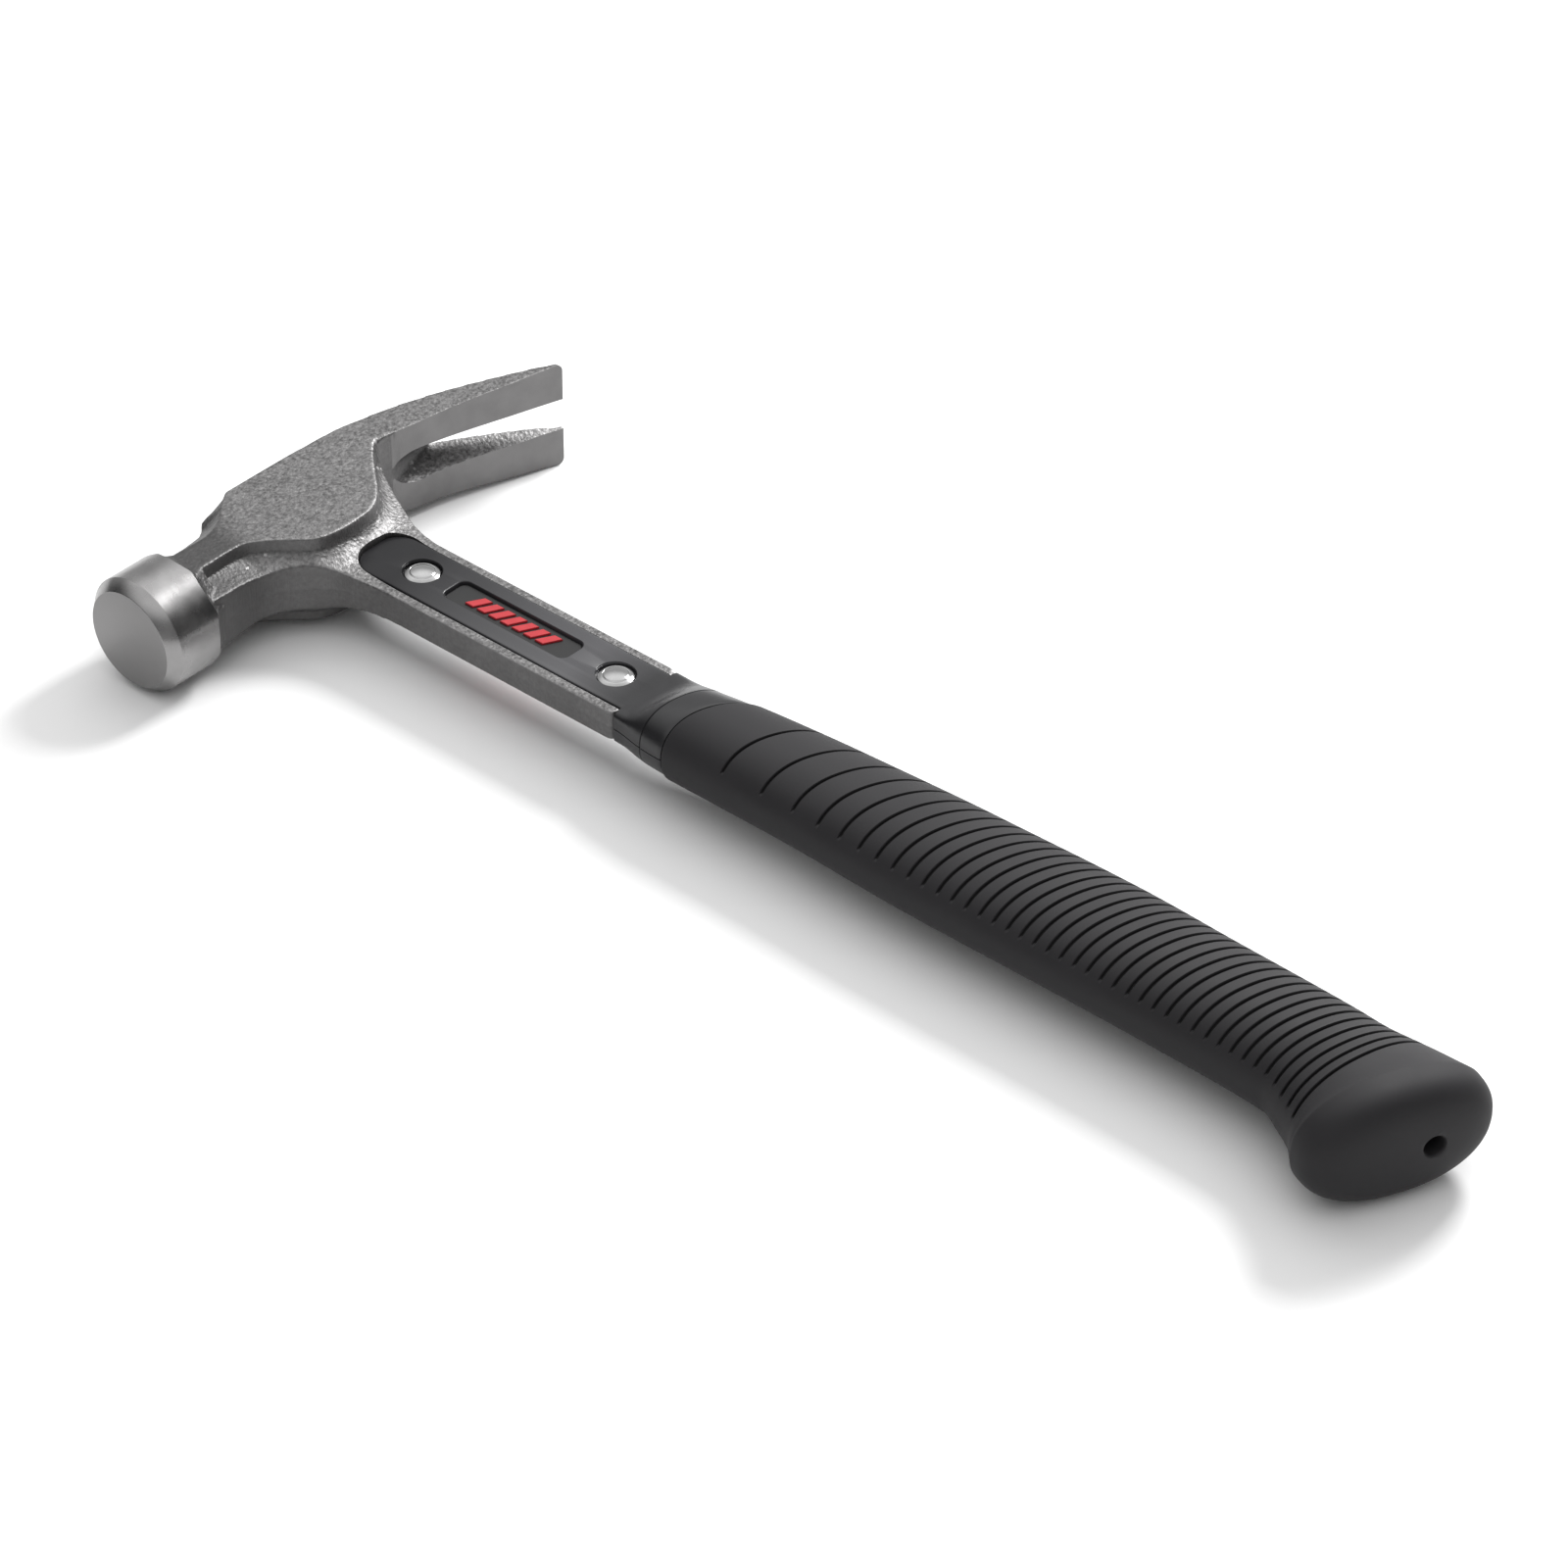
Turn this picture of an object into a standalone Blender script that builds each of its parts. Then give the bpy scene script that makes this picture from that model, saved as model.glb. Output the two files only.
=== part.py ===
"""Claw hammer with a drop-forged steel head and tang, riveted plastic core
halves and a rubber grip.

Frame: +X runs from the head down the handle, +Y points from the striking face
to the claw, +Z is up.  The hammer lies on its cheek on the plane z = 0, so its
plane of symmetry is z = Z_MID.  The shapes are drawn in millimetres with the
poll's axis at x = 0 and the handle's centre line at y = 0, and the root empty
moves them so that the origin is the middle of the bounding box's bottom.
"""
import math

import bmesh
import bpy
import numpy as np
from mathutils import Vector
from mathutils.geometry import delaunay_2d_cdt

# ---------------------------------------------------------------- dimensions
MM = 0.001
Z_MID = 15.0            # plane of symmetry above the surface it lies on
GAP = 0.3               # clearance between neighbouring pieces

# poll
POLL_R = 15.0
FACE_Y = -61.2          # striking face
FACE_R = 12.55          # flat of the striking face inside its chamfer
POLL_CHAMFER_Y = -58.3
POLL_BACK_Y = -46.9
NECK_R = 12.0           # inscribed radius of the eight-sided neck
NECK_FLAT = 4.4         # half width of the neck's flats

# cheek and claw
CHEEK_H = 12.0          # half thickness of the cheek
FOOT_H = 9.3            # half thickness at the foot of the cheek's raised field
TANG_H = 4.08           # half thickness of the tang's rims
TANG_W = 11.2           # half width of the tang
TIP_Y = 77.0            # claw tips
TANG_STEP_X = 108.5     # end of the exposed tang
TANG_END_X = 296.0      # end of the hidden tang
TANG_HIDDEN_W = 7.5
TANG_HIDDEN_H = 3.6
WEB_H = 1.6             # half thickness of the tang's web between its rims

# handle
COLLAR_X = 130.6        # front edge of the rubber grip, at the sides' mean
FRONT_LEAN = 5.3        # how far that edge leans back towards the claw's side
FRONT_BOW = 2.4         # how far it bows forward over top and bottom
CORE_END_X = 322.0
BUTT_DEPTH = 10.3       # how far the domed end stands out from its edge
BUTT_POWER = 3.15       # fullness of that dome
RIVET_X = (36.9, 99.3)
RIVET_HEAD_R = 4.6
RIVET_HEAD_Z = 5.4      # crown of the rivet's head above the mid plane
RIVET_SHANK_R = 2.5
BADGE_X0, BADGE_X1 = 46.9, 86.2
BADGE_W = 4.1
HOLE_R = 2.65           # blind moulding hole in the butt
HOLE_XY = (336.4, -4.7)

ORIGIN_Y = (TIP_Y + FACE_Y) / 2

for old in list(bpy.data.objects):
    bpy.data.objects.remove(old, do_unlink=True)

root = bpy.data.objects.new("hammer_frame", None)
bpy.context.scene.collection.objects.link(root)


# ------------------------------------------------------------------- helpers
def material(name, colour, metallic, roughness):
    m = bpy.data.materials.new(name)
    m.use_nodes = True
    b = m.node_tree.nodes["Principled BSDF"]
    b.inputs["Base Color"].default_value = (*colour, 1.0)
    b.inputs["Metallic"].default_value = metallic
    b.inputs["Roughness"].default_value = roughness
    m.diffuse_color = (*colour, 1.0)
    return m


def mesh_object(name, bm):
    bmesh.ops.recalc_face_normals(bm, faces=bm.faces)
    me = bpy.data.meshes.new(name)
    bm.to_mesh(me)
    bm.free()
    ob = bpy.data.objects.new(name, me)
    bpy.context.scene.collection.objects.link(ob)
    return ob


def prism(name, outline, z0, z1):
    bm = bmesh.new()
    lo = [bm.verts.new((x, y, z0)) for x, y in outline]
    hi = [bm.verts.new((x, y, z1)) for x, y in outline]
    n = len(outline)
    bm.faces.new(lo[::-1])
    bm.faces.new(hi)
    for i in range(n):
        j = (i + 1) % n
        bm.faces.new((lo[i], lo[j], hi[j], hi[i]))
    return mesh_object(name, bm)


def loft(name, rings):
    """Closed skin through rings of equally many points, with flat end caps."""
    bm = bmesh.new()
    vs = [[bm.verts.new(p) for p in ring] for ring in rings]
    n = len(rings[0])
    for a, b in zip(vs, vs[1:]):
        for i in range(n):
            j = (i + 1) % n
            bm.faces.new((a[i], a[j], b[j], b[i]))
    bm.faces.new(vs[0][::-1])
    bm.faces.new(vs[-1])
    return mesh_object(name, bm)


def turned(name, profile, axis, centre, segments):
    """Solid of revolution of (radius, height) pairs about axis 'Y' or 'Z'."""
    bm = bmesh.new()
    rings = []
    for r, h in profile:
        if r < 1e-6:
            p = (0, h, 0) if axis == "Y" else (0, 0, h)
            rings.append([bm.verts.new(Vector(p) + Vector(centre))])
            continue
        ring = []
        for k in range(segments):
            t = 2 * math.pi * (k + 0.5) / segments
            c, s = r * math.cos(t), r * math.sin(t)
            p = (c, h, s) if axis == "Y" else (c, s, h)
            ring.append(bm.verts.new(Vector(p) + Vector(centre)))
        rings.append(ring)
    for a, b in zip(rings, rings[1:]):
        for i in range(segments):
            j = (i + 1) % segments
            if len(a) == 1:
                bm.faces.new((a[0], b[j], b[i]))
            elif len(b) == 1:
                bm.faces.new((a[i], a[j], b[0]))
            else:
                bm.faces.new((a[i], a[j], b[j], b[i]))
    return mesh_object(name, bm)


def combine(ob, other, operation):
    """Exact Boolean of two solids; the second one is used up."""
    mod = ob.modifiers.new("cut", "BOOLEAN")
    mod.solver = "EXACT"
    mod.operation = operation
    mod.object = other
    dg = bpy.context.evaluated_depsgraph_get()
    dg.update()
    me = bpy.data.meshes.new_from_object(ob.evaluated_get(dg))
    ob.modifiers.remove(mod)
    old = ob.data
    ob.data = me
    bpy.data.meshes.remove(old)
    bpy.data.objects.remove(other, do_unlink=True)
    return ob


def finish(ob, name, mat, sharp_deg=35.0):
    """Weld crumbs, go from millimetres to metres and hang on the root."""
    bm = bmesh.new()
    bm.from_mesh(ob.data)
    bmesh.ops.remove_doubles(bm, verts=bm.verts, dist=0.004)
    bmesh.ops.dissolve_degenerate(bm, edges=bm.edges, dist=0.002)
    bmesh.ops.scale(bm, vec=(MM, MM, MM), verts=bm.verts)
    bmesh.ops.recalc_face_normals(bm, faces=bm.faces)
    bm.to_mesh(ob.data)
    bm.free()
    ob.name = name
    ob.data.name = name
    ob.data.materials.clear()
    ob.data.materials.append(mat)
    ob.data.shade_smooth()
    ob.data.set_sharp_from_angle(angle=math.radians(sharp_deg))
    ob.parent = root
    return ob


def seg_dist(p, a, b):
    ax, ay = a
    bx, by = b
    dx, dy = bx - ax, by - ay
    t = ((p[0] - ax) * dx + (p[1] - ay) * dy) / (dx * dx + dy * dy)
    t = min(1.0, max(0.0, t))
    return math.hypot(p[0] - ax - t * dx, p[1] - ay - t * dy)


def line_dist(p, line):
    return min(seg_dist(p, a, b) for a, b in zip(line, line[1:]))


def curve(points, step):
    """Even points, about step apart, on a smooth curve through the given ones."""
    pts = [Vector((*p, 0.0)) for p in points]
    ext = [2 * pts[0] - pts[1]] + pts + [2 * pts[-1] - pts[-2]]
    out = []
    for i in range(1, len(ext) - 2):
        p0, p1, p2, p3 = ext[i - 1:i + 3]
        n = max(1, round((p2 - p1).length / step))
        t0 = 0.0
        t1 = t0 + math.sqrt((p1 - p0).length)
        t2 = t1 + math.sqrt((p2 - p1).length)
        t3 = t2 + math.sqrt((p3 - p2).length)
        for k in range(n):
            t = t1 + (t2 - t1) * k / n
            a1 = (t1 - t) / (t1 - t0) * p0 + (t - t0) / (t1 - t0) * p1
            a2 = (t2 - t) / (t2 - t1) * p1 + (t - t1) / (t2 - t1) * p2
            a3 = (t3 - t) / (t3 - t2) * p2 + (t - t2) / (t3 - t2) * p3
            b1 = (t2 - t) / (t2 - t0) * a1 + (t - t0) / (t2 - t0) * a2
            b2 = (t3 - t) / (t3 - t1) * a2 + (t - t1) / (t3 - t1) * a3
            c = (t2 - t) / (t2 - t1) * b1 + (t - t1) / (t2 - t1) * b2
            out.append((c.x, c.y))
    out.append((pts[-1].x, pts[-1].y))
    return out


# ------------------------------------------------------- head forging's plan
# near side: from the poll along the throat's arc to the end of the bare tang
THROAT = curve([(11.6, -52.0), (11.5, -44.2), (11.2, -38.0), (11.0, -33.4),
                (11.5, -27.6), (13.3, -22.8), (16.4, -18.7), (21.5, -14.7),
                (26.3, -12.9), (31.8, -11.8), (40.0, -TANG_W)], 3.2)
# far side: from the tang up into the claw's underside
CROOK = curve([(42.0, TANG_W), (32.1, 11.4), (28.8, 11.5), (24.8, 12.1),
               (21.0, 13.1), (18.0, 14.5), (14.3, 16.1), (9.2, 18.5),
               (2.3, 22.0)], 3.0)
CROOK_TURN = [(-0.9, 23.7), (-2.0, 24.6), (-2.5, 25.8), (-2.4, 27.6)]
UNDERSIDE = curve([(-1.9, 30.2), (-0.5, 35.6), (1.1, 43.8), (3.0, 51.0),
                   (5.0, 57.4), (7.1, 64.0), (9.1, 70.7), (10.7, 75.6)], 5.0)
TIP = [(11.15, TIP_Y), (10.35, TIP_Y)]
OUTER = curve([(9.3, 75.0), (7.3, 72.3), (3.6, 66.0), (1.1, 61.5),
               (-4.7, 50.3), (-7.7, 43.2), (-9.6, 38.0), (-11.2, 32.8),
               (-12.6, 27.6), (-13.4, 23.0), (-13.9, 15.0), (-14.3, 0.0),
               (-14.3, -14.6)], 6.0)
SHOULDER = [(-14.35, -18.6), (-14.3, -22.2), (-13.2, -25.2), (-12.3, -28.4),
            (-12.0, -32.0), (-12.0, -40.0), (-12.0, -52.0)]

# edge of the raised cheek field, where it isn't the outline itself
FIELD = curve([(NECK_FLAT, -52.0), (4.3, -38.0), (4.2, -30.0), (4.8, -26.6),
               (7.6, -22.6), (12.2, -18.0), (15.6, -14.5), (17.2, -10.0),
               (17.6, -4.0), (17.0, 2.9), (15.2, 6.9), (11.0, 11.5),
               (6.3, 15.6), (1.5, 19.9)], 3.6)[:-1] + [(1.5, 19.9), (-0.9, 22.2)]
FIELD_BACK = [(-12.3, -17.7), (-8.8, -22.9), (-5.9, -26.9), (-NECK_FLAT, -30.5),
              (-NECK_FLAT, -52.0)]
FOOT_STEP = 0.8         # how far the foot of the field's edge stands out


def offset_line(line, d):
    out = []
    for i, p in enumerate(line):
        a = Vector(line[max(0, i - 1)])
        b = Vector(line[min(len(line) - 1, i + 1)])
        t = (b - a).normalized()
        out.append((p[0] + t.y * d, p[1] - t.x * d))
    return out


FOOT = offset_line(FIELD, FOOT_STEP)
RECESS_X0, RECESS_W, RECESS_R = 20.2, 8.95, 6.2
RIM_H = 4.4             # half thickness at the front rim of the tang's recess
RECESS_FRONT = ([(42.0, RECESS_W)]
                + [(RECESS_X0 + RECESS_R * (1 + math.cos(math.radians(a))),
                    RECESS_W - RECESS_R + RECESS_R * math.sin(math.radians(a))) for a in range(90, 181, 15)]
                + [(RECESS_X0 + RECESS_R * (1 + math.cos(math.radians(a))),
                    RECESS_R - RECESS_W + RECESS_R * math.sin(math.radians(a))) for a in range(180, 271, 15)]
                + [(42.0, -RECESS_W)])


def claw_half(y):
    """Half thickness of cheek and claw, which widens towards the tips."""
    return float(np.interp(y, (27.0, 36.0, 44.0, 57.4, 70.7, TIP_Y),
                           (CHEEK_H, 12.4, 12.7, 13.6, 14.5, 15.0)))


def web_half(x, y):
    """Half thickness of the lower field between the cheek and the outline."""
    lam = float(np.interp(y, (-44.0, -37.0, -33.0, -27.0, -20.0),
                          (22.0, 14.0, 11.0, 6.9, 4.5)))
    d = line_dist((x, y), FOOT)
    h = TANG_H + (FOOT_H - TANG_H) * math.exp(-d / lam)
    # it also comes down to the rim of the tang's recess
    e = line_dist((x, y), RECESS_FRONT)
    return min(h, RIM_H + (FOOT_H - RIM_H) * (e / (e + d + 1e-6)) ** 0.9)


def build_head():
    pts, half, edges = [], [], []

    def add(p, h):
        pts.append(Vector(p))
        half.append(h)
        return len(pts) - 1

    loop = []
    for p in THROAT:
        loop.append(add(p, web_half(*p)))
    for x in (60.0, 82.0, 104.5):
        loop.append(add((x, -TANG_W), TANG_H))
    for p in ((107.2, -10.9), (TANG_STEP_X, -9.4), (TANG_STEP_X, -TANG_HIDDEN_W)):
        loop.append(add(p, TANG_H))
    for p in ((TANG_STEP_X, TANG_HIDDEN_W), (TANG_STEP_X, 9.4), (107.2, 10.9)):
        loop.append(add(p, TANG_H))
    for x in (104.5, 82.0, 60.0):
        loop.append(add((x, TANG_W), TANG_H))
    for p in CROOK:
        loop.append(add(p, web_half(*p)))
    for p, h in zip(CROOK_TURN, (9.6, 10.4, 11.4, CHEEK_H)):
        loop.append(add(p, h))
    for p in UNDERSIDE + TIP + OUTER:
        loop.append(add(p, claw_half(p[1])))
    for p, h in zip(SHOULDER, (9.2, 7.0, 6.0, 5.3, NECK_FLAT + 0.6, NECK_FLAT + 0.6, NECK_FLAT + 0.6)):
        loop.append(add(p, h))
    field = [add(p, CHEEK_H) for p in FIELD]
    foot = [add(p, FOOT_H) for p in FOOT[:-1]]
    back = [add(p, CHEEK_H) for p in FIELD_BACK]
    for chain in (field, foot, back):
        edges += list(zip(chain, chain[1:]))
    # points between the foot and the outline carry the web's sag
    for d in (2.2, 5.0, 8.5):
        for p in offset_line(FOOT, d)[3:-4:2]:
            inside = p[0] < 40 and all(line_dist(p, l) > 1.6 for l in (THROAT, CROOK, FOOT))
            if inside and p[1] > -20 and p[1] < 14:
                add(p, web_half(*p))
    for x, y in RECESS_FRONT[1:-1]:
        q = math.hypot(x - 28.0, y)
        add((x - 0.3 * (28.0 - x) / q, y + 0.3 * y / q), RIM_H)
    for x in (27.0, 33.0, 42.0):
        for y in (-5.0, 0.0, 5.0):
            add((x, y), RIM_H)

    vs, _es, fs, orig, _oe, _of = delaunay_2d_cdt(
        [p for p in pts], edges, [loop], 1, 1e-4)
    bm = bmesh.new()
    top, bot = [], []
    for i, v in enumerate(vs):
        h = half[orig[i][0]] if orig[i] else web_half(v.x, v.y)
        top.append(bm.verts.new((v.x, v.y, Z_MID + h)))
        bot.append(bm.verts.new((v.x, v.y, Z_MID - h)))
    count = {}
    for f in fs:
        bm.faces.new([top[i] for i in f])
        bm.faces.new([bot[i] for i in reversed(f)])
        for a, b in zip(f, list(f[1:]) + [f[0]]):
            k = (min(a, b), max(a, b))
            count.setdefault(k, []).append((a, b))
    for k, use in count.items():
        if len(use) == 1:
            a, b = use[0]
            bm.faces.new((top[b], top[a], bot[a], bot[b]))
    head = mesh_object("head_forging", bm)

    poll = turned("poll", [(0, FACE_Y), (FACE_R, FACE_Y), (POLL_R, POLL_CHAMFER_Y),
                           (POLL_R, POLL_BACK_Y), (14.5, -46.2), (13.4, -45.4),
                           (12.2, -44.2), (11.4, -42.6), (0, -42.6)],
                  "Y", (0, 0, Z_MID), 56)
    combine(head, poll, "UNION")

    # hidden part of the tang
    w, h = TANG_HIDDEN_W, TANG_HIDDEN_H
    bar = prism("bar", [(TANG_STEP_X - 3.0, -w), (TANG_END_X - 4, -w), (TANG_END_X, -w + 4),
                        (TANG_END_X, w - 4), (TANG_END_X - 4, w), (TANG_STEP_X - 3.0, w)],
                Z_MID - h, Z_MID + h)
    combine(head, bar, "UNION")

    # nail slot between the prongs: wide at the underside, narrow outside
    e1 = Vector((0.27, 0.963))
    e2 = Vector((0.963, -0.27))
    o = Vector((-2.0, 29.0))

    def slot_ring(depth, start, w0, w1, nose):
        pts2 = []
        n = 7
        for k in range(n):
            t = math.pi * k / (n - 1)
            pts2.append((start + nose * (1 - math.sin(t)), -w0 * math.cos(t)))
        pts2.append((60.0, w1))
        pts2.append((60.0, -w1))
        ring = []
        for s, z in pts2:
            q = o + e1 * s + e2 * depth
            ring.append((q.x, q.y, Z_MID + z))
        return ring

    slot = loft("slot", [slot_ring(2.5, -4.1, 6.0, 5.3, 10.0),
                         slot_ring(-10.5, 18.0, 0.7, 0.4, 1.5)])
    combine(head, slot, "DIFFERENCE")

    # recess between the tang's rims, on both cheeks
    for side in (1, -1):
        z0, z1 = Z_MID + side * WEB_H, Z_MID + side * 14.0
        cut = prism("recess", recess_outline(0.0), min(z0, z1), max(z0, z1))
        combine(head, cut, "DIFFERENCE")
    for x in RIVET_X:
        hole = turned("hole", [(0, -8), (RIVET_SHANK_R + GAP, -8), (RIVET_SHANK_R + GAP, 8), (0, 8)],
                      "Z", (x, 0, Z_MID), 24)
        combine(head, hole, "DIFFERENCE")
    return head


def recess_outline(shrink):
    """Rounded front end, straight sides, open into the collar at the back."""
    w = RECESS_W - shrink
    x0 = RECESS_X0 + shrink
    r = RECESS_R
    pts = []
    for k in range(7):
        t = math.pi / 2 + math.pi / 2 * k / 6
        pts.append((x0 + r + r * math.cos(t), (w - r) + r * math.sin(t)))
    for k in range(7):
        t = math.pi + math.pi / 2 * k / 6
        pts.append((x0 + r + r * math.cos(t), -(w - r) + r * math.sin(t)))
    return pts + [(TANG_STEP_X + 5.0, -w), (TANG_STEP_X + 5.0, w)]


# --------------------------------------------------------------- grip's form
# stations down the handle: x and y of the section's middle, half width, half
# thickness, and how much the section leans (dx/dy), up to the butt's edge
GX = (125.4, 140.0, 165.0, 200.0, 240.0, 270.0, 300.0, 308.3, 316.3, 321.1, 324.8)
GA = (13.13, 14.24, 15.59, 17.11, 17.56, 16.87, 16.6, 17.7, 19.45, 20.8, 21.3)
GB = (9.81, 9.69, 9.51, 9.8, 9.8, 10.17, 10.65, 11.7, 13.15, 13.95, 14.9)
GC = (-0.51, 0.38, 1.32, 1.59, 2.13, 1.54, 0.47, -1.7, -3.55, -4.9, -5.75)
GK = (0.0, 0.0, 0.0, 0.0, 0.0, 0.0, 0.1, 0.16, 0.26, 0.35, 0.46)


def smooth_interp(x, xs, ys):
    """Monotone cubic interpolation (Fritsch-Carlson slopes)."""
    xs = np.asarray(xs, float)
    ys = np.asarray(ys, float)
    h = np.diff(xs)
    d = np.diff(ys) / h
    m = np.zeros(len(xs))
    for i in range(1, len(xs) - 1):
        if d[i - 1] * d[i] > 0:
            w1 = 2 * h[i] + h[i - 1]
            w2 = h[i] + 2 * h[i - 1]
            m[i] = (w1 + w2) / (w1 / d[i - 1] + w2 / d[i])
    m[0], m[-1] = d[0], d[-1]
    i = int(np.clip(np.searchsorted(xs, x) - 1, 0, len(h) - 1))
    t = (x - xs[i]) / h[i]
    return float((2 * t ** 3 - 3 * t ** 2 + 1) * ys[i] + (t ** 3 - 2 * t ** 2 + t) * h[i] * m[i]
                 + (-2 * t ** 3 + 3 * t ** 2) * ys[i + 1] + (t ** 3 - t ** 2) * h[i] * m[i + 1])


def section(x, a, b, c, power, n):
    """Superellipse ring in the plane X = x, centred on y = c, z = Z_MID."""
    ring = []
    for k in range(n):
        t = 2 * math.pi * k / n
        ct, st = math.cos(t), math.sin(t)
        y = c + a * math.copysign(abs(ct) ** (2 / power), ct)
        z = Z_MID + b * math.copysign(abs(st) ** (2 / power), st)
        ring.append((x, y, z))
    return ring


def grip_ring(x, inset, n):
    a, b, c, k = (smooth_interp(x, GX, t) for t in (GA, GB, GC, GK))
    ring = section(x, a - inset, b - inset, c, 2.25, n)
    return [(px + k * (py - c), py, pz) for px, py, pz in ring]


def slant(ring, amount=None):
    """Lean a ring like the rubber's front edge, less and less further back."""
    x = sum(p[0] for p in ring) / len(ring)
    if amount is None:
        amount = min(max((155.0 - x) / 20.0, 0.0), 1.0)
    c = (max(p[1] for p in ring) + min(p[1] for p in ring)) / 2
    a = (max(p[1] for p in ring) - min(p[1] for p in ring)) / 2
    out = []
    for px, py, pz in ring:
        u = (py - c) / a
        out.append((px + amount * (FRONT_LEAN * u - FRONT_BOW * (1 - u * u)), py, pz))
    return out


def butt_ring(deg, n):
    """Ring of the domed end, deg degrees from its edge towards its middle."""
    f = math.cos(math.radians(deg)) ** (2 / BUTT_POWER)
    off = BUTT_DEPTH * math.sin(math.radians(deg)) ** (2 / BUTT_POWER)
    x0, a, b, c, k = GX[-1], GA[-1], GB[-1], GC[-1], GK[-1]
    q = 1 / math.hypot(1, k)
    return [(x0 + k * (py - c) + off * q, py - off * q * k, pz)
            for _, py, pz in section(x0, a * f, b * f, c, 2.25, n)]


def core_ring(x, n, extra=0.0):
    """Outside of the core under the rubber, with extra clearance."""
    a = min(smooth_interp(x, GX, GA) - 2.6, 15.2)
    b = min(smooth_interp(x, GX, GB) - 2.1, 8.6)
    c = smooth_interp(min(x, 300.0), GX, GC)
    return section(x, a + extra, b + extra, c, 2.2, n)


SEG = 40
BUTT_RINGS = [butt_ring(t, SEG) for t in (2.5, 7.0, 14.0, 23.0, 33.0, 44.0, 56.0, 68.0, 78.0, 86.0)]
ORIGIN_X = (max(p[0] for ring in BUTT_RINGS for p in ring) - POLL_R) / 2
root.location = (-ORIGIN_X * MM, -ORIGIN_Y * MM, 0.0)


def build_core_half(side):
    """One half shell: tongue in the tang's recess, collar, and grip core."""
    def z(h):
        return Z_MID + side * h

    floor = WEB_H + GAP
    out = recess_outline(GAP)
    # tongue, crowned across its width
    bm = bmesh.new()
    rings = []
    n = len(out)
    cx, w = 64.0, 8.65
    for f, h in ((1.0, floor), (1.0, 4.05), (0.94, 4.45), (0.55, 4.95)):
        ring = []
        for x, y in out:
            px = x if x > TANG_STEP_X else x + (1 - f) * 9.0
            ring.append(bm.verts.new((px, y * f, z(h))))
        rings.append(ring)
    for a, b in zip(rings, rings[1:]):
        for i in range(n):
            j = (i + 1) % n
            bm.faces.new((a[i], a[j], b[j], b[i]))
    bm.faces.new(rings[0])
    bm.faces.new(rings[-1])
    tongue = mesh_object("tongue", bm)

    rings = [section(TANG_STEP_X + GAP, 11.1, 4.4, 0.0, 5.0, SEG),
             slant(section(113.0, 11.5, 5.0, -0.15, 4.2, SEG), 0.2),
             slant(section(116.5, 11.85, 6.4, -0.3, 3.3, SEG), 0.36),
             slant(section(119.5, 12.2, 8.1, -0.4, 2.6, SEG), 0.5),
             slant(section(122.0, 12.5, 8.8, -0.4, 2.35, SEG), 0.62),
             slant(section(126.0, 12.9, 9.15, -0.2, 2.3, SEG), 0.8),
             slant(section(COLLAR_X - 0.5, 13.25, 9.35, 0.1, 2.25, SEG), 1.0),
             slant(core_ring(COLLAR_X, SEG)), slant(core_ring(137.0, SEG)),
             slant(core_ring(145.0, SEG)), core_ring(155.0, SEG),
             core_ring(175.0, SEG), core_ring(205.0, SEG), core_ring(240.0, SEG),
             core_ring(275.0, SEG), core_ring(300.0, SEG), core_ring(315.0, SEG)]
    end = core_ring(315.0, SEG)
    cy = sum(p[1] for p in end) / SEG
    rings.append([(CORE_END_X, cy + (p[1] - cy) * 0.8, Z_MID + (p[2] - Z_MID) * 0.75) for p in end])
    core = loft("core", rings)
    # keep one half
    big = 40.0
    y0, y1 = -big, big
    half_z0, half_z1 = sorted((z(GAP / 2), z(big)))
    keep = prism("keep", [(0, y0), (400, y0), (400, y1), (0, y1)], half_z0, half_z1)
    combine(core, keep, "INTERSECT")
    combine(core, tongue, "UNION")
    # room for the tang
    w, h = TANG_HIDDEN_W + GAP, TANG_HIDDEN_H + GAP
    bar = prism("room", [(TANG_STEP_X - 2.0, -w), (TANG_END_X + GAP, -w),
                         (TANG_END_X + GAP, w), (TANG_STEP_X - 2.0, w)], Z_MID - h, Z_MID + h)
    combine(core, bar, "DIFFERENCE")
    w = TANG_W + 1.0
    step = prism("step", [(TANG_STEP_X - 10, -w), (TANG_STEP_X + GAP, -w),
                          (TANG_STEP_X + GAP, w), (TANG_STEP_X - 10, w)],
                 Z_MID - floor, Z_MID + floor)
    combine(core, step, "DIFFERENCE")
    # rivet seats
    for x in RIVET_X:
        seat = turned("seat", [(0, 0.5 * side), (RIVET_SHANK_R + GAP, 0.5 * side),
                               (RIVET_SHANK_R + GAP, 3.6 * side), (RIVET_HEAD_R + GAP, 3.6 * side),
                               (RIVET_HEAD_R + GAP, 9.0 * side), (0, 9.0 * side)],
                      "Z", (x, 0, Z_MID), 32)
        combine(core, seat, "DIFFERENCE")
    # recess of the badge
    cut = prism("badge_room", stadium(BADGE_X0, BADGE_X1, BADGE_W, 2.0),
                *sorted((z(3.5), z(9.0))))
    combine(core, cut, "DIFFERENCE")
    return core


def stadium(x0, x1, w, r):
    pts = []
    for cx, cy, a0 in ((x1 - r, w - r, 0), (x0 + r, w - r, 90), (x0 + r, -w + r, 180), (x1 - r, -w + r, 270)):
        for k in range(5):
            t = math.radians(a0 + 90 * k / 4)
            pts.append((cx + r * math.cos(t), cy + r * math.sin(t)))
    return pts


def build_badge(side):
    z0 = Z_MID + side * (3.5 + GAP)
    z1 = Z_MID + side * 4.3
    out = stadium(BADGE_X0 + GAP, BADGE_X1 - GAP, BADGE_W - GAP, 1.7)
    return prism("badge", out, min(z0, z1), max(z0, z1))


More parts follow.
